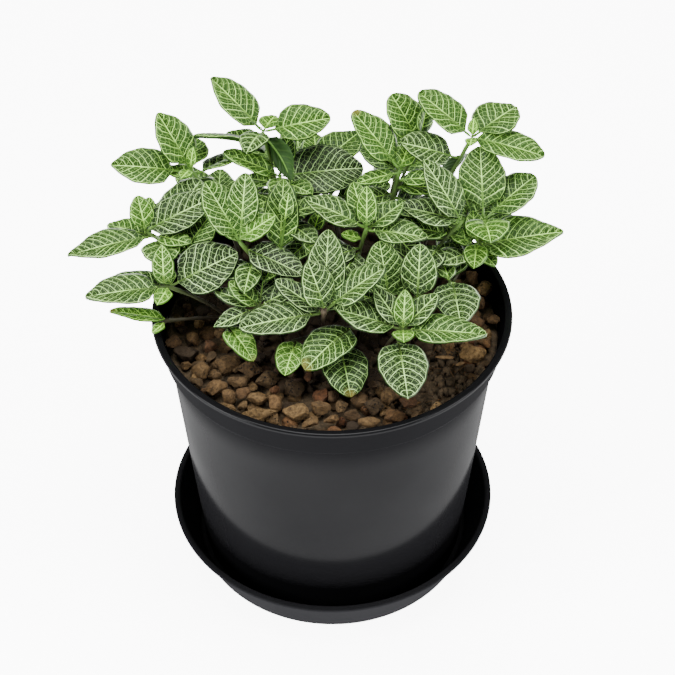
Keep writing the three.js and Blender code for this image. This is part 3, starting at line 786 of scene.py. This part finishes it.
def stem_skin():
    """Bright green at its young tip, duller below and dark near the soil. tipward is under 0 on
    an old stem, which is covered in brown bark."""
    finish = Finish("stem_skin")
    tipward = finish.attribute("tipward").parts()[0]
    height = finish.place().parts()[2]
    near_soil = finish.fade(height, (SOIL_TOP + 12) * MM, (SOIL_TOP + 56) * MM)
    streaks = finish.noise(420)
    dull = finish.mix(streaks, (0.014, 0.024, 0.006, 1), (0.032, 0.046, 0.010, 1))
    green = finish.mix(tipward, dull, (0.065, 0.150, 0.018, 1))
    bark = finish.mix(streaks, (0.030, 0.020, 0.012, 1), (0.160, 0.120, 0.075, 1))
    cover = finish.mix(0 - tipward, green, bark)
    # Darker towards the soil, nearly black at its foot
    colour = finish.mix(near_soil * 0.95, cover, (0.013, 0.008, 0.004, 1))
    return finish.surface(colour, rough=0.6, shine=0.2, relief=(streaks, 0.2, 0.5))


def plastic(name, dark, light, gloss):
    """Moulded black plastic: a fine grain with faint scuffs, under a sheen as strong as gloss that
    is weakest on the band and brightest on the lip and along the band's foot"""
    finish = Finish(name)
    cloud = finish.noise(18, 4)
    scuffs = finish.noise(260, 5, 0.7)
    grain = finish.noise(2600, 2)
    height = finish.place().parts()[2] / MM
    under_band = finish.fade(height, BAND_FOOT - 16, BAND_FOOT + 2)
    on_lip = 1 - finish.fade(height, RIM_HEIGHT - RIM_LIP, RIM_HEIGHT)
    on_step = finish.fade(abs(height - BAND_FOOT), 0.2, 1.8)
    sheen = 0.2 + 0.8 * under_band + 4 * on_lip + 2 * on_step
    colour = finish.mix(cloud * 0.7 + scuffs * 0.3, dark, light)
    return finish.surface(
        colour, rough=0.5, shine=0, relief=(grain + 0.5 * scuffs, 0.03, 0.3),
        Coat_Weight=gloss * sheen * (0.7 + 0.6 * cloud), Coat_Roughness=0.14,
    )


def stone():
    """Baked clay pebbles from tan to dark brown, some reddish, pitted all over, with painted shade in
    the pits
    """
    finish = Finish("stone")
    tone, warmth, pits = finish.attribute("stone").parts()
    spots = finish.noise(740, 5, 0.7)
    cloud = finish.noise(150)
    holes = finish.node("ShaderNodeTexVoronoi", sockets={"Vector": finish.place(), "Scale": 620})
    pit_depth_and_shade = finish.fade(holes, 0.12, 0.34) * pits
    body = finish.mix(tone, (0.016, 0.010, 0.005, 1), (0.165, 0.100, 0.038, 1))
    body = finish.mix(warmth * 0.8, body, (0.070, 0.021, 0.006, 1))
    body = finish.mix((spots - 0.38) * 3.2 * (0.4 + cloud), body, (0.016, 0.009, 0.003, 1))
    # Painted shade darkens the pits, whose depth also goes into the relief
    colour = finish.mix(pit_depth_and_shade, body, (0.004, 0.003, 0.002, 1))
    relief = (spots - pit_depth_and_shade, 1, 1)
    return finish.surface(colour, rough=0.9 - 0.15 * cloud, shine=0.2, relief=relief)


def earth(name, dark, light):
    """Dull and crumbly, as soil, bark and roots are"""
    finish = Finish(name)
    lumps = finish.noise(300, 6, 0.7)
    crumbs = finish.noise(1100, 4, 0.6)
    colour = finish.mix((lumps - 0.3) * 3.2 * crumbs, dark, light)
    relief = (lumps + crumbs, 0.6, 0.9)
    return finish.surface(colour, rough=0.85 + 0.1 * lumps, shine=0.2, relief=relief)


LEAF_TOP = leaf_top()
LEAF_UNDERSIDE = leaf_underside()
STEM_SKIN = stem_skin()
POT_PLASTIC = plastic("pot_plastic", (0.0024, 0.0024, 0.0027, 1), (0.0036, 0.0036, 0.0040, 1), 0.041)
SAUCER_PLASTIC = plastic("saucer_plastic", (0.006, 0.006, 0.0066, 1), (0.009, 0.009, 0.0098, 1), 0.004)
STONE = stone()
SOIL = earth("soil", (0.010, 0.008, 0.004, 1), (0.095, 0.062, 0.032, 1))
ROOT = earth("root", (0.020, 0.011, 0.004, 1), (0.130, 0.066, 0.022, 1))
CHIP = earth("chip", (0.060, 0.034, 0.014, 1), (0.300, 0.190, 0.085, 1))


# Saucer: a flat floor, a slanting wall and a narrow lip that stands out from it
def saucer():
    lip_foot = SAUCER_HEIGHT - SAUCER_LIP_HEIGHT
    wall_top = SAUCER_RADIUS - SAUCER_LIP
    outline = [
        (0, 0),
        (SAUCER_BASE_RADIUS, 0),
        (wall_top - 0.3, lip_foot),
        (SAUCER_RADIUS, lip_foot + 0.5),
        (SAUCER_RADIUS, SAUCER_HEIGHT),
        (wall_top - SAUCER_WALL, SAUCER_HEIGHT),
        (SAUCER_BASE_RADIUS - 0.8, SAUCER_FLOOR),
        (0, SAUCER_FLOOR),
    ]
    bm = bmesh.new()
    spun(bm, rounded(outline, 0.9))
    return piece(bm, "saucer_shell", "saucer_plastic", [SAUCER_PLASTIC], "saucer")


def body_radius(height):
    share = (height - SAUCER_FLOOR) / (BAND_FOOT - SAUCER_FLOOR)
    return BASE_RADIUS + share * (BODY_RADIUS - BASE_RADIUS)


def band_radius(height):
    share = (height - BAND_FOOT) / (RIM_HEIGHT - RIM_LIP - BAND_FOOT)
    return BAND_RADIUS + share * (RIM_RADIUS - LIP_OVERHANG - BAND_RADIUS)


# Pot: a tapering body, a wider band round its top and a rolled lip, with drain holes in its floor
def pot():
    floor = SAUCER_FLOOR + POT_FLOOR
    lip_foot = RIM_HEIGHT - RIM_LIP
    outline = [
        (0, SAUCER_FLOOR),
        (BASE_RADIUS - 1, SAUCER_FLOOR),
        (body_radius(SAUCER_FLOOR + 1), SAUCER_FLOOR + 1),
        (BODY_RADIUS, BAND_FOOT),
        (BAND_RADIUS - 0.4, BAND_FOOT + 0.3),
        (band_radius(BAND_FOOT + 1.2), BAND_FOOT + 1.2),
        (band_radius(lip_foot), lip_foot),
        (RIM_RADIUS, lip_foot + 0.3),
        (RIM_RADIUS - 0.3, RIM_HEIGHT),
        (RIM_RADIUS - LIP_WIDTH, RIM_HEIGHT),
        (band_radius(lip_foot) - POT_WALL, lip_foot - 1),
        (BAND_RADIUS - POT_WALL, BAND_FOOT + 1.2),
        (BODY_RADIUS - POT_WALL, BAND_FOOT - 1),
        (body_radius(floor) - POT_WALL, floor),
        (0, floor),
    ]
    bm = bmesh.new()
    spun(bm, rounded(outline, 1))
    made = piece(bm, "pot_shell", "pot_plastic", [POT_PLASTIC], "pot")
    drills = bmesh.new()
    for i in range(DRAIN_HOLES):
        angle = i * 2 * pi / DRAIN_HOLES
        at = (DRAIN_CIRCLE * cos(angle), DRAIN_CIRCLE * sin(angle), floor)
        bmesh.ops.create_cone(drills, cap_ends=True, segments=24, radius1=DRAIN_RADIUS,
                              radius2=DRAIN_RADIUS, depth=4 * POT_FLOOR,
                              matrix=Matrix.Translation(at))
    cut_away(made, drills)
    return made


def cut_away(made, drills):
    """Cuts the drills' shapes out of a piece"""
    cutter = mesh_object(drills, "drills")
    cut = made.modifiers.new("holes", "BOOLEAN")
    cut.object = cutter
    cut.solver = "EXACT"
    shown = made.evaluated_get(bpy.context.evaluated_depsgraph_get())
    made.data = bpy.data.meshes.new_from_object(shown)
    made.modifiers.clear()
    bpy.data.objects.remove(cutter)


# Soil: fills the pot, with a rough top that shows where the gravel leaves it bare
SOIL_RINGS = 40
CRUMB_SEED = 5
CRUMB_COUNT = 420
CRUMB_SIZES = (0.6, 1.9)
CRUMB_LIFTS = (0.4, 2.6)


def soil():
    floor = SAUCER_FLOOR + POT_FLOOR + 0.3
    bore = band_radius(SOIL_TOP) - POT_WALL - FIT_GAP
    outline = [
        (0, floor),
        (body_radius(floor) - POT_WALL - FIT_GAP, floor),
        (BODY_RADIUS - POT_WALL - FIT_GAP, BAND_FOOT - 1),
        (bore, SOIL_TOP - 1),
        *[(bore * (1 - i / SOIL_RINGS), SOIL_TOP) for i in range(1, SOIL_RINGS + 1)],
    ]
    bm = bmesh.new()
    spun(bm, outline)
    for vert in bm.verts:
        if vert.co.z > SOIL_TOP - 0.5:
            lump = noise.noise(vert.co * 0.35) + 0.5 * noise.noise(vert.co * 0.9)
            vert.co.z += 0.5 + 1.1 * lump
    crumbs(bm)
    return piece(bm, "soil_fill", "soil", [SOIL], "soil")


def random_place(draw, middle, reach):
    """A place drawn evenly over a disc"""
    angle = draw.uniform(0, 2 * pi)
    away = reach * sqrt(draw.random())
    return middle[0] + away * cos(angle), middle[1] + away * sin(angle)


def crumbs(bm):
    """Loose crumbs of soil over the bare patch"""
    draw = random.Random(CRUMB_SEED)
    for _ in range(CRUMB_COUNT):
        x, y = random_place(draw, BARE_PATCH, BARE_RADIUS + 6)
        size = draw.uniform(*CRUMB_SIZES)
        if hypot(x, y) > GRAVEL_RADIUS - 2:
            continue
        made = bmesh.ops.create_icosphere(bm, subdivisions=1, radius=size)["verts"]
        for vert in made:
            vert.co *= 1 + 0.35 * noise.noise(vert.co * 1.3 + Vector((x, y, 0)))
            vert.co += Vector((x, y, SOIL_TOP + draw.uniform(*CRUMB_LIFTS)))


# Gravel: the largest stones at the front, then an upper and a lower layer drawn at random.
# A shown stone's row: place, half width, half depth, tone, warmth, pits
SHOWN_STONES = [
    (-59, -20, 5.6, 5.3, 0.04, 0, 0.2), (-50, -17, 4.2, 4.2, 0.2, 0.5, 0.2),
    (-53, -31, 4.9, 6.3, 0.58, 0.1, 0.1), (-42, -27, 5.8, 5.6, 0.51, 0.1, 0.1),
    (-46, -41, 4.5, 4.4, 0.58, 0.2, 0), (-38, -38, 4.3, 3.4, 0.39, 0.1, 0),
    (-33, -30, 4.9, 4.3, 0.31, 0.1, 0.9), (-35, -45, 3.7, 3.5, 0.35, 0.3, 0),
    (-26, -37, 4.9, 5, 0.31, 0, 1), (-41, -47, 3.7, 3.2, 0.55, 0.2, 0),
    (-30, -48, 5.3, 3.8, 0.66, 0.1, 0), (-28, -56, 7.7, 3.9, 0.74, 0, 0.1),
    (-22, -50, 3.9, 4.1, 0.66, 0.3, 0), (-16, -41, 5.7, 5, 0.16, 0, 0.8),
    (-14, -55, 5.8, 4.9, 0.7, 0, 0.3), (-5, -46, 4.2, 4.9, 0.31, 0.9, 0.2),
    (1, -46, 3.6, 3.6, 0.27, 0.2, 0), (-4, -53, 5.3, 3.4, 0.47, 0.1, 0.2),
    (4, -53, 3.7, 3.2, 0.39, 0, 1), (8, -57, 4.5, 3.2, 0.23, 0.1, 0.3),
    (0, -60, 3.4, 2.9, 0.66, 0.2, 0), (11, -48, 4.3, 3.7, 0.35, 0.1, 0.1),
    (17, -52, 4.9, 3.7, 0.16, 0, 0.9), (24, -46, 4.6, 4.3, 0.47, 0.1, 0.2),
    (30, -50, 4.2, 3, 0.16, 0.5, 0.2), (24, -57, 5.1, 3.5, 0.51, 0.4, 0.1),
    (15, -61, 5.1, 2.8, 0.58, 0.1, 0.1), (-8, -62, 4.9, 2.8, 0.62, 0.1, 0.1),
    (57, -21, 6.2, 4.6, 1, 0, 0.3), (56, -32, 2.8, 2.6, 0.08, 0, 0.2),
    (-9, -37, 2.7, 2.6, 0.16, 0.6, 0.1), (-23, -44, 2.8, 2.6, 0.31, 0.8, 0.1),
    (-65, -15, 3.7, 3.7, 0.31, 0.2, 0.1), (65, 18, 3.4, 5.2, 0.9, 0, 0.6),
    (60, 26, 4.2, 3.8, 0.45, 0.2, 0.2), (62, 9, 3.6, 4, 0.4, 0.3, 0.1),
    (60, -2, 3.8, 4, 0.3, 0.3, 0.1),
]
SHOWN_LIFT = 1
GRAVEL_SEED = 8
FLATS = 12

# The two layers of random stones: tries, least and greatest radius, and spacing.
# A stone's width, depth and height are each drawn as a share of its radius.
UPPER_STONES = (5000, 2.8, 5.2, 0.8)
LOWER_STONES = (3000, 3, 4.8, 0.76)
LOWER_TOP = SOIL_TOP + 5
STONE_SHAPE = ((0.85, 1.15), (0.75, 1), (0.6, 0.85))
STONE_TILT = 0.4

# A random stone's tone, as its middle and spread, and the warmths and pits that it may have
STONE_TONE = (0.42, 0.24)
WARMTHS = (0, 0, 0, 0.2, 0.4, 0.9)
PITS = (0, 0, 0.2, 0.9)

# How far out and how far back the stones' painted shade under the leaves begins to fade, over what
# distance, and the darkest it gets
SHADE_RADIUS = 34
SHADE_BACK = 10
SHADE_FADE = 16
DEEPEST_SHADE = 0.06


def pebble(bm, at, sizes, turn, look, draw, fine):
    """A stone with a few worn flats, pushed in and out a little all over"""
    marks = bm.verts.layers.float_vector["stone"]
    made = bmesh.ops.create_icosphere(bm, subdivisions=3 if fine else 2, radius=1)["verts"]
    flats = [
        (Vector([draw.gauss(0, 1) for _ in range(3)]).normalized(), draw.uniform(0.46, 0.82))
        for _ in range(FLATS)
    ]
    shift = Vector([draw.uniform(-50, 50) for _ in range(3)])
    stretch = Matrix.Diagonal(sizes)
    for vert in made:
        for way, reach in flats:
            vert.co -= way * max(0, vert.co.dot(way) - reach) * 0.95
        vert.co *= 1 + 0.14 * noise.noise(vert.co * 1.4 + shift)
        if fine:
            vert.co *= 1 + 0.09 * noise.noise(vert.co * 4 + shift)
        vert.co = Vector(at) + turn @ (stretch @ vert.co)
        vert[marks] = look


def painted_shade_factor(x, y):
    """Painted shade: stones are darker under the leaves, and lighter towards the rim in front"""
    outward = (hypot(x, y) - SHADE_RADIUS) / SHADE_FADE
    forward = (SHADE_BACK + 0.4 * max(0, x) - y) / SHADE_FADE
    return min(1, max(DEEPEST_SHADE, outward * min(1, forward)))


def scattered(draw, taken, tries, low, high, spacing):
    """Places for stones that keep clear of those taken, as (x, y, radius)"""
    stems = [one["root"] for one in STEMS]
    made = []
    for _ in range(tries):
        size = draw.uniform(low, high)
        x, y = random_place(draw, (0, 0), GRAVEL_RADIUS - size)
        if hypot(x - BARE_PATCH[0], y - BARE_PATCH[1]) < BARE_RADIUS:
            continue
        if any(hypot(x - a, y - b) < size + STEM_RADIUS for a, b in stems):
            continue
        if all(hypot(x - a, y - b) > spacing * (size + r) for a, b, r in [*taken, *made]):
            made.append((x, y, size))
    return made


def gravel():
    draw = random.Random(GRAVEL_SEED)
    bm = bmesh.new()
    bm.verts.layers.float_vector.new("stone")
    shown = [(x, y, (wide + deep) / 2) for x, y, wide, deep, *_ in SHOWN_STONES]
    for x, y, wide, deep, tone, warmth, pits in SHOWN_STONES:
        tall = min(wide, deep) * 0.85
        turn = Matrix.Rotation(draw.uniform(-STONE_TILT, STONE_TILT), 3, "Z")
        at = (x, y, GRAVEL_TOP + SHOWN_LIFT - tall)
        pebble(bm, at, (wide, deep, tall), turn, (tone, warmth, pits), draw, True)
    upper = scattered(draw, shown, *UPPER_STONES)
    lower = scattered(draw, [], *LOWER_STONES)
    for places, top in ((upper, GRAVEL_TOP), (lower, LOWER_TOP)):
        for x, y, size in places:
            sizes = [size * draw.uniform(*span) for span in STONE_SHAPE]
            turn = Matrix.Rotation(draw.uniform(0, pi), 3, "Z")
            turn @= Matrix.Rotation(draw.uniform(-STONE_TILT, STONE_TILT), 3, "X")
            # Painted shade under the leaves darkens and dulls each random stone's tone and warmth
            look = (
                min(1, max(0, draw.gauss(*STONE_TONE))) * painted_shade_factor(x, y),
                draw.choice(WARMTHS) * draw.random() * painted_shade_factor(x, y),
                draw.choice(PITS),
            )
            at = (x, y, top - sizes[2] - draw.uniform(0, 1.2))
            pebble(bm, at, sizes, turn, look, draw, False)
    return piece(bm, "gravel_stones", "gravel", [STONE], "gravel", smooth=False)


# Roots and chips of bark on the bare soil. A shown chip's row: place, length, width, turn
SHOWN_CHIPS = [(46, -23, 9, 2.6, 0.1), (52, -27, 5, 2, 0.6)]
LITTER_SEED = 21
ROOT_COUNT = 75
LITTER_LIFTS = (1.6, 4)
CHIP_THICK = 0.9
CHIP_SHARE = 0.2
CHIP_SIZES = ((2.5, 5), (1, 2), (0.5, 0.9))
ROOT_SIZES = ((4, 12), (0.18, 0.4), (0.18, 0.35))


def sliver(bm, at, sizes, turn, tilt):
    """A long uneven grain, its faces returned"""
    matrix = Matrix.Translation(at) @ Matrix.Rotation(turn, 4, "Z") @ Matrix.Rotation(tilt, 4, "Y")
    made = bmesh.ops.create_icosphere(
        bm, subdivisions=1, radius=0.5, matrix=matrix @ Matrix.Diagonal((*sizes, 1)),
    )["verts"]
    for vert in made:
        vert.co += 0.25 * min(1, sizes[1]) * noise.noise_vector(vert.co * 0.8)
    return faces_of(made)


def litter():
    draw = random.Random(LITTER_SEED)
    noise.seed_set(LITTER_SEED)
    bm = bmesh.new()
    for x, y, long, wide, turn in SHOWN_CHIPS:
        at = (x, y, SOIL_TOP + LITTER_LIFTS[1])
        for face in sliver(bm, at, (long, wide, CHIP_THICK), turn, 0.1):
            face.material_index = 1
    for _ in range(ROOT_COUNT):
        x, y = random_place(draw, BARE_PATCH, BARE_RADIUS + 4)
        if hypot(x, y) > GRAVEL_RADIUS - 6:
            continue
        spans = CHIP_SIZES if draw.random() < CHIP_SHARE else ROOT_SIZES
        sizes = [draw.uniform(*span) for span in spans]
        at = (x, y, SOIL_TOP + draw.uniform(*LITTER_LIFTS))
        sliver(bm, at, sizes, draw.uniform(0, pi), draw.uniform(-0.35, 0.35))
    return piece(bm, "bark_and_roots", "soil", [ROOT, CHIP])


# Leaves and stems
LEAF_SEED = 3
TOP_FINISH, UNDER_FINISH, STEM_FINISH = range(3)
BUSH_FOOT = 150
BUSH_HEIGHT = 45


def painted_bush_light(blade):
    """Painted shade: from 0 for a leaf low in the middle of the bush, darkest, to 1 for one high up or
    far out, lightest
    """
    middle = blade.points(np.array([0.5]), np.array([0]))[0]
    away = hypot(middle[0] / RIM_RADIUS, middle[1] / RIM_RADIUS)
    return min(1, max(0, 0.6 * away + (middle[2] - BUSH_FOOT) / BUSH_HEIGHT))


def blade_skin(bm, blade, row, draw):
    """The blade: a flat skin, its rows bowed along the side veins and quilted between them,
    that runs from the left edge over the top to the right edge and back underneath"""
    panels = max(3, round(blade.length / VEIN_STEP))
    scale = min(1, blade.half / GROWN_HALF)
    waves = [draw.uniform(0, 1) for _ in range(2)]
    # A leaf's tone: painted shade deep in the bush, give or take a random tone
    tone = painted_bush_light(blade) + draw.uniform(-0.2, 0.2)
    # Each row's shade takes painted shade off the tone, or adds painted light when below 0
    look = (row.youth, tone - row.shade, row.bronze)
    layers = bm.verts.layers

    def place(u, v):
        top = u <= 0.5
        side = np.where(top, 4 * u - 1, 3 - 4 * u)
        out = np.abs(side)
        sweep = VEIN_SWEEP * v ** 0.6 * (1 - v) * (0.9 * out + 0.1 * out ** 3)
        share = np.clip(v + sweep, 0, 1)
        half = WIDEN * row.broad * blade.half_width(share) * (1 - row.acute * share ** 4)
        wave = np.where(side > 0, waves[0], waves[1])
        half = half * (1 + SCALLOP * np.sin(2 * np.pi * (SCALLOPS * share + wave)) * share)
        panel = v * panels
        crest = np.abs(np.sin(np.pi * panel)) ** 0.7 - 0.4
        quilt = QUILT * scale * crest * np.minimum(1, 3 * out) * (1 - out ** 6)
        groove = -GROOVE * scale * np.exp(-(out * half / GROOVE_WIDTH) ** 2)
        cushion = CUSHION * scale * 4 * out * (1 - out)
        ruffle = RUFFLE * scale * np.sin(2 * np.pi * (RUFFLES * share + wave)) * out ** 3
        thick = np.where(top, 0.5, -0.5) * BLADE_THICK * np.sqrt(1 - out ** 6)
        where = np.stack([half * side, panel, half * (1 - out)], axis=-1)
        return blade.points(share, side, quilt + groove + cushion + ruffle + thick, half), [
            (layers.float_vector["blade"], where),
            (layers.float_vector["leaf_look"], [look] * len(v)),
            (layers.float["tipward"], v),
        ]

    def finish_at(u):
        return TOP_FINISH if u < 0.5 else UNDER_FINISH

    skin(bm, 4 * HALF_COLUMNS, ROWS_PER_VEIN * panels, place, finish_at)


def stalk(bm, blade, scale):
    """The stalk, which runs on as a rib under the blade"""
    total = blade.stalk + RIB_SHARE * blade.length

    def path(v):
        run = v * total
        share = np.clip((run - blade.stalk) / blade.length, 0, 1)
        under = -0.25 * np.clip((run - blade.stalk) / 4, 0, 1) - GROOVE * share
        on_blade = blade.points(share, 0 * share, under)
        on_stalk = blade.joint + np.multiply.outer(run, blade.along)
        return np.where((run < blade.stalk)[:, None], on_stalk, on_blade)

    def radius(v):
        ends = (v > 0) & (v < 1)
        return scale * np.where(ends, 0.6 - 0.4 * v, 0)

    tube(bm, path, radius, STALK_GRID, blade.up + 0.001 * SIDEWAYS, np.ones_like)


def bare_stem(bm, curve, old):
    """A shoot's stem, swollen under its crown"""
    def radius(part):
        ends = (part > 0) & (part < 1)
        swell = (0.5 if old else 0.12) * np.exp(-((part - 0.93) / 0.05) ** 2)
        return np.where(ends, STEM_RADIUS * (0.58 + swell), 0)

    def youth(part):
        return -part if old else part ** 5

    tube(bm, curve.along, radius, STEM_GRID, SIDEWAYS, youth)


def hairs(bm, curve, old, draw):
    """Fine hairs that stand off the upper stem all round it, thickest near the crown"""
    for _ in range(2 * HAIR_COUNT if old else HAIR_COUNT):
        part = np.array([1 - HAIR_SHARE * draw.random() ** 2])
        at = curve.along(part)[0]
        way = Vector([draw.gauss(0, 1), draw.gauss(0, 1), draw.uniform(0, 1)]).normalized()
        long = draw.uniform(*HAIR_LENGTHS)
        turned = way.to_track_quat("Z", "Y").to_matrix().to_4x4()
        matrix = Matrix.Translation(Vector(at) + long / 2 * way) @ turned
        made = bmesh.ops.create_cone(bm, cap_ends=True, segments=3, radius1=HAIR_RADIUS, radius2=0,
                                     depth=long, matrix=matrix)["verts"]
        for vert in made:
            vert[bm.verts.layers.float["tipward"]] = -1 if old else 1
        for face in faces_of(made):
            face.material_index = STEM_FINISH


def leafy_stem(one, leaves, draw):
    """One leafy stem: its shoots' stems and hairs, then its leaves and their stalks"""
    bm = bmesh.new()
    bm.verts.layers.float_vector.new("blade")
    bm.verts.layers.float_vector.new("leaf_look")
    bm.verts.layers.float.new("tipward")
    for part in one["shoots"]:
        curve = stem_curve(one, part)
        bare_stem(bm, curve, part["old"])
        hairs(bm, curve, part["old"], draw)
    for placed in leaves:
        blade_skin(bm, placed["blade"], placed["row"], draw)
        stalk(bm, placed["blade"], min(1, 0.5 + placed["row"].reach / 40))
    finishes = [LEAF_TOP, LEAF_UNDERSIDE, STEM_SKIN]
    return piece(bm, "shoot_" + one["name"], "leaf", finishes, "leafy_stem_" + one["name"])


# Stage: a pale floor, soft studio light and a camera at the photograph's angle
VIEW_ELEVATION = 42.6
VIEW_DISTANCE = 683.05
VIEW_TARGET = (2.26, 0, 115.7)
VIEW_LENS = 86.12
VIEW_SENSOR = 36
FLOOR_HALF = 12
FLOOR_GLOW = 8
WORLD_GLOW = 0.35

# Lamps over the plant: name, place and width in metres, and power in watts
LAMPS = [
    ("top", (0, 0.15, 1.6), 1.1, 44),
    ("left", (-1.1, -0.5, 0.85), 0.8, 37),
    ("right", (1.1, -0.4, 0.85), 0.8, 24),
]
LAMP_TARGET = (0, 0, 0.12)


def stage():
    bm = bmesh.new()
    bmesh.ops.create_grid(bm, x_segments=1, y_segments=1, size=FLOOR_HALF)
    floor = mesh_object(bm, "floor", 1)
    finish = Finish("floor_paper")
    tint = finish.mix(finish.noise(3), (0.92, 0.92, 0.92, 1), (0.94, 0.94, 0.94, 1))
    floor.data.materials.append(finish.surface(
        tint, rough=0.9, shine=0.5, Emission_Color=(1, 1, 1, 1), Emission_Strength=FLOOR_GLOW,
    ))


def studio():
    world = bpy.data.worlds.new("studio")
    world.use_nodes = True
    sky = world.node_tree.nodes["Background"].inputs
    sky["Color"].default_value = (1, 1, 1, 1)
    sky["Strength"].default_value = WORLD_GLOW
    bpy.context.scene.world = world
    for name, at, width, power in LAMPS:
        lamp = bpy.data.lights.new(name, "AREA")
        lamp.shape = "DISK"
        lamp.size = width
        lamp.energy = power
        held = in_scene(name, lamp)
        held.location = at
        sight = Vector(LAMP_TARGET) - Vector(at)
        held.rotation_euler = sight.to_track_quat("-Z", "Y").to_euler()


def camera():
    tilt = radians(VIEW_ELEVATION)
    sight = Vector((0, cos(tilt), -sin(tilt)))
    held = in_scene("camera", bpy.data.cameras.new("camera"))
    held.data.lens = VIEW_LENS
    held.data.sensor_width = VIEW_SENSOR
    held.location = (Vector(VIEW_TARGET) - VIEW_DISTANCE * sight) * MM
    held.rotation_euler = (pi / 2 - tilt, 0, 0)
    bpy.context.scene.camera = held


def build():
    draw = random.Random(LEAF_SEED)
    leaves = settled_leaves()
    saucer()
    pot()
    soil()
    gravel()
    litter()
    for one in STEMS:
        own = [placed for placed in leaves if placed["owner"] == one["name"]]
        leafy_stem(one, own, draw)
    stage()
    studio()
    camera()


build()
